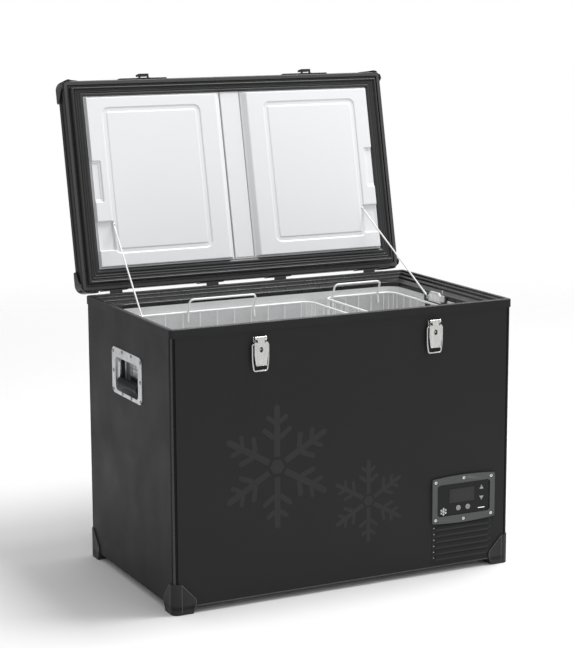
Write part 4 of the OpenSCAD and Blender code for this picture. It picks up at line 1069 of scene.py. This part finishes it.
def make_controls():
    for row in ROUNDED_FRONT:
        soften(*row)
    cx, cz = middle_mm("control_bezel")
    face = box_mm("control_bezel")[0].y
    heads = Shape()
    screw_slot_shade = Shape()
    for u, v in ((-70, 42), (0, 45.5), (70, 42), (-70, -42), (0, -45.5), (70, -42)):
        dome(heads, (cx + u, face + 1.2, cz + v), (0, -1, 0), 4.0, 1.7, 22, 4)
        # painted shade: black sheets in the cross slots of each screw head
        for a in (0.4, 0.4 + math.pi / 2):
            prism(screw_slot_shade, [(p * math.cos(a) - q * math.sin(a), p * math.sin(a) + q * math.cos(a))
                          for p, q in ((-1.9, -0.4), (1.9, -0.4), (1.9, 0.4), (-1.9, 0.4))],
                  front_place(cx + u, cz + v, face - 0.38), 0.14, 0.05, 1)
    make_piece("bezel_screw_heads", heads, "screw_steel", "cabinet", ["bezel_screws"])
    make_piece("bezel_screw_slot_painted_shade", screw_slot_shade, "rubber_black")
    # keys with plain marks on them
    for key in ("power", "set", "up", "down"):
        body, node = "button_" + key, key + "_key"
        soften(node, 0.4, "key_grey", 3, body)
        (kx, kz), ky = middle_mm(node), box_mm(node)[0].y
        mark = Shape()
        if key in ("up", "down"):
            way = 1 if key == "up" else -1
            lines = [[(-2.2, -1.2 * way), (0, 1.2 * way), (2.2, -1.2 * way)]]
        elif key == "power":
            lines = [arc((0, 0), 3.0, 130, 410, 24), [(0, 0.6), (0, 3.8)]]
        else:
            lines = [arc((0, 0), 3.0, 0, 345, 23)]
            dome(mark, (kx, ky, kz), (0, -1, 0), 1.0, 0.35, 12, 2)
        for line in lines:
            mark.tube([(kx + u, ky - 0.02, kz + v) for u, v in line], 0.42, 6, closed=key == "set")
        make_piece(key + "_key_mark", mark, "icon_dark", body)
    # status bar and display segments
    bar = Shape()
    prism(bar, rounded_rect(-8.4, 8.4, -0.7, 0.7, 0.6, 4),
          front_place(cx + 46, 135, -HALF_D - 2.6), 0.25, 0.08, 1)
    make_piece("status_bar", bar, "light_white")
    # a plain snowflake as the mark on the fascia
    mark = Shape()
    mx, my, mz = cx - 50, -HALF_D - 2.62, 137
    for k in range(6):
        angle = 30 + 60 * k
        (tip_x, tip_z), (x, z) = (arc((mx, mz), r, angle, angle, 1)[0] for r in (8.6, 4.8))
        mark.tube([(mx, my, mz), (tip_x, my, tip_z)], 0.8, 6)
        for turn in (-50, 50):
            twig_x, twig_z = arc((x, z), 3.1, angle + turn, angle + turn, 1)[0]
            mark.tube([(x, my, z), (twig_x, my, twig_z)], 0.65, 6)
    make_piece("fascia_mark", mark, "icon_white")
    digits = Shape()
    (dx, dz), dy = middle_mm("display_window"), box_mm("display_window")[0].y
    # the seven bars of a digit: across, up, and whether it stands upright
    segments = [(0, 8.2, 0), (4.2, 4.1, 1), (4.2, -4.1, 1), (0, -8.2, 0), (-4.2, -4.1, 1),
                (-4.2, 4.1, 1), (0, 0, 0)]
    for where in (-15, 0, 15):
        for u, v, upright in segments:
            w, h = (0.7, 3.2) if upright else (3.2, 0.7)
            outline = [(u - w, v - h), (u + w, v - h), (u + w, v + h), (u - w, v + h)]
            prism(digits, outline, front_place(dx + where, dz, dy), 0.05, 0.02, 1)
    make_piece("display_segments", digits, "segment_grey")


# ---- the rest

def make_small_parts():
    make_feet()
    for row in ROUNDED_REST:
        soften(*row)
    # bead along the lower edge of the front and the back, in a lighter grey: painted highlight along it
    beads = Shape()
    for s in (-1, 1):
        beads.tube([(x, s * (HALF_D - 0.2), 15) for x in (-HALF_W + 32, HALF_W - 32)], 0.8, 8)
    make_piece("edge_beads", beads, "bead_painted_highlight")
    # ribs on the lamp's lens, and the bright heads of the bracket screws
    low = box_mm("lamp_housing")[0]
    ribs = Shape()
    for k in range(7):
        y = -20 + k * 6
        ribs.tube([(low.x - 0.1, y, 557), (low.x - 0.1, y, 571)], 0.7, 8)
    make_piece("lamp_ribs", ribs, "lens_white")
    screws = Shape()
    for s in (1, -1):
        dome(screws, (s * 346.9, 30, 560), (-s, 0, 0), 4.0, 1.1, 20, 3)
        for y, z in ((-38, 545), (-38, 563), (41, 545)):
            dome(screws, (s * (TUB_HALF_W - 2), y, z), (-s, 0, 0), 2.6, 0.8, 14, 2)
    make_piece("bracket_screws", screws, "screw_steel")


# ---- everything, in order

bpy.context.scene.view_settings.view_transform = "Standard"
make_camera()
make_world()
MATERIALS = {name: surface(name, colour, roughness, **rest)
             for name, (colour, roughness, rest) in LOOKS.items()}
make_stage()
dress()
make_rim()
make_posts()
make_louvres()
make_decal()
make_lid_frame()
make_gasket()
make_liner()
make_baskets()
make_latches()
make_handles()
make_controls()
make_small_parts()
make_stays()
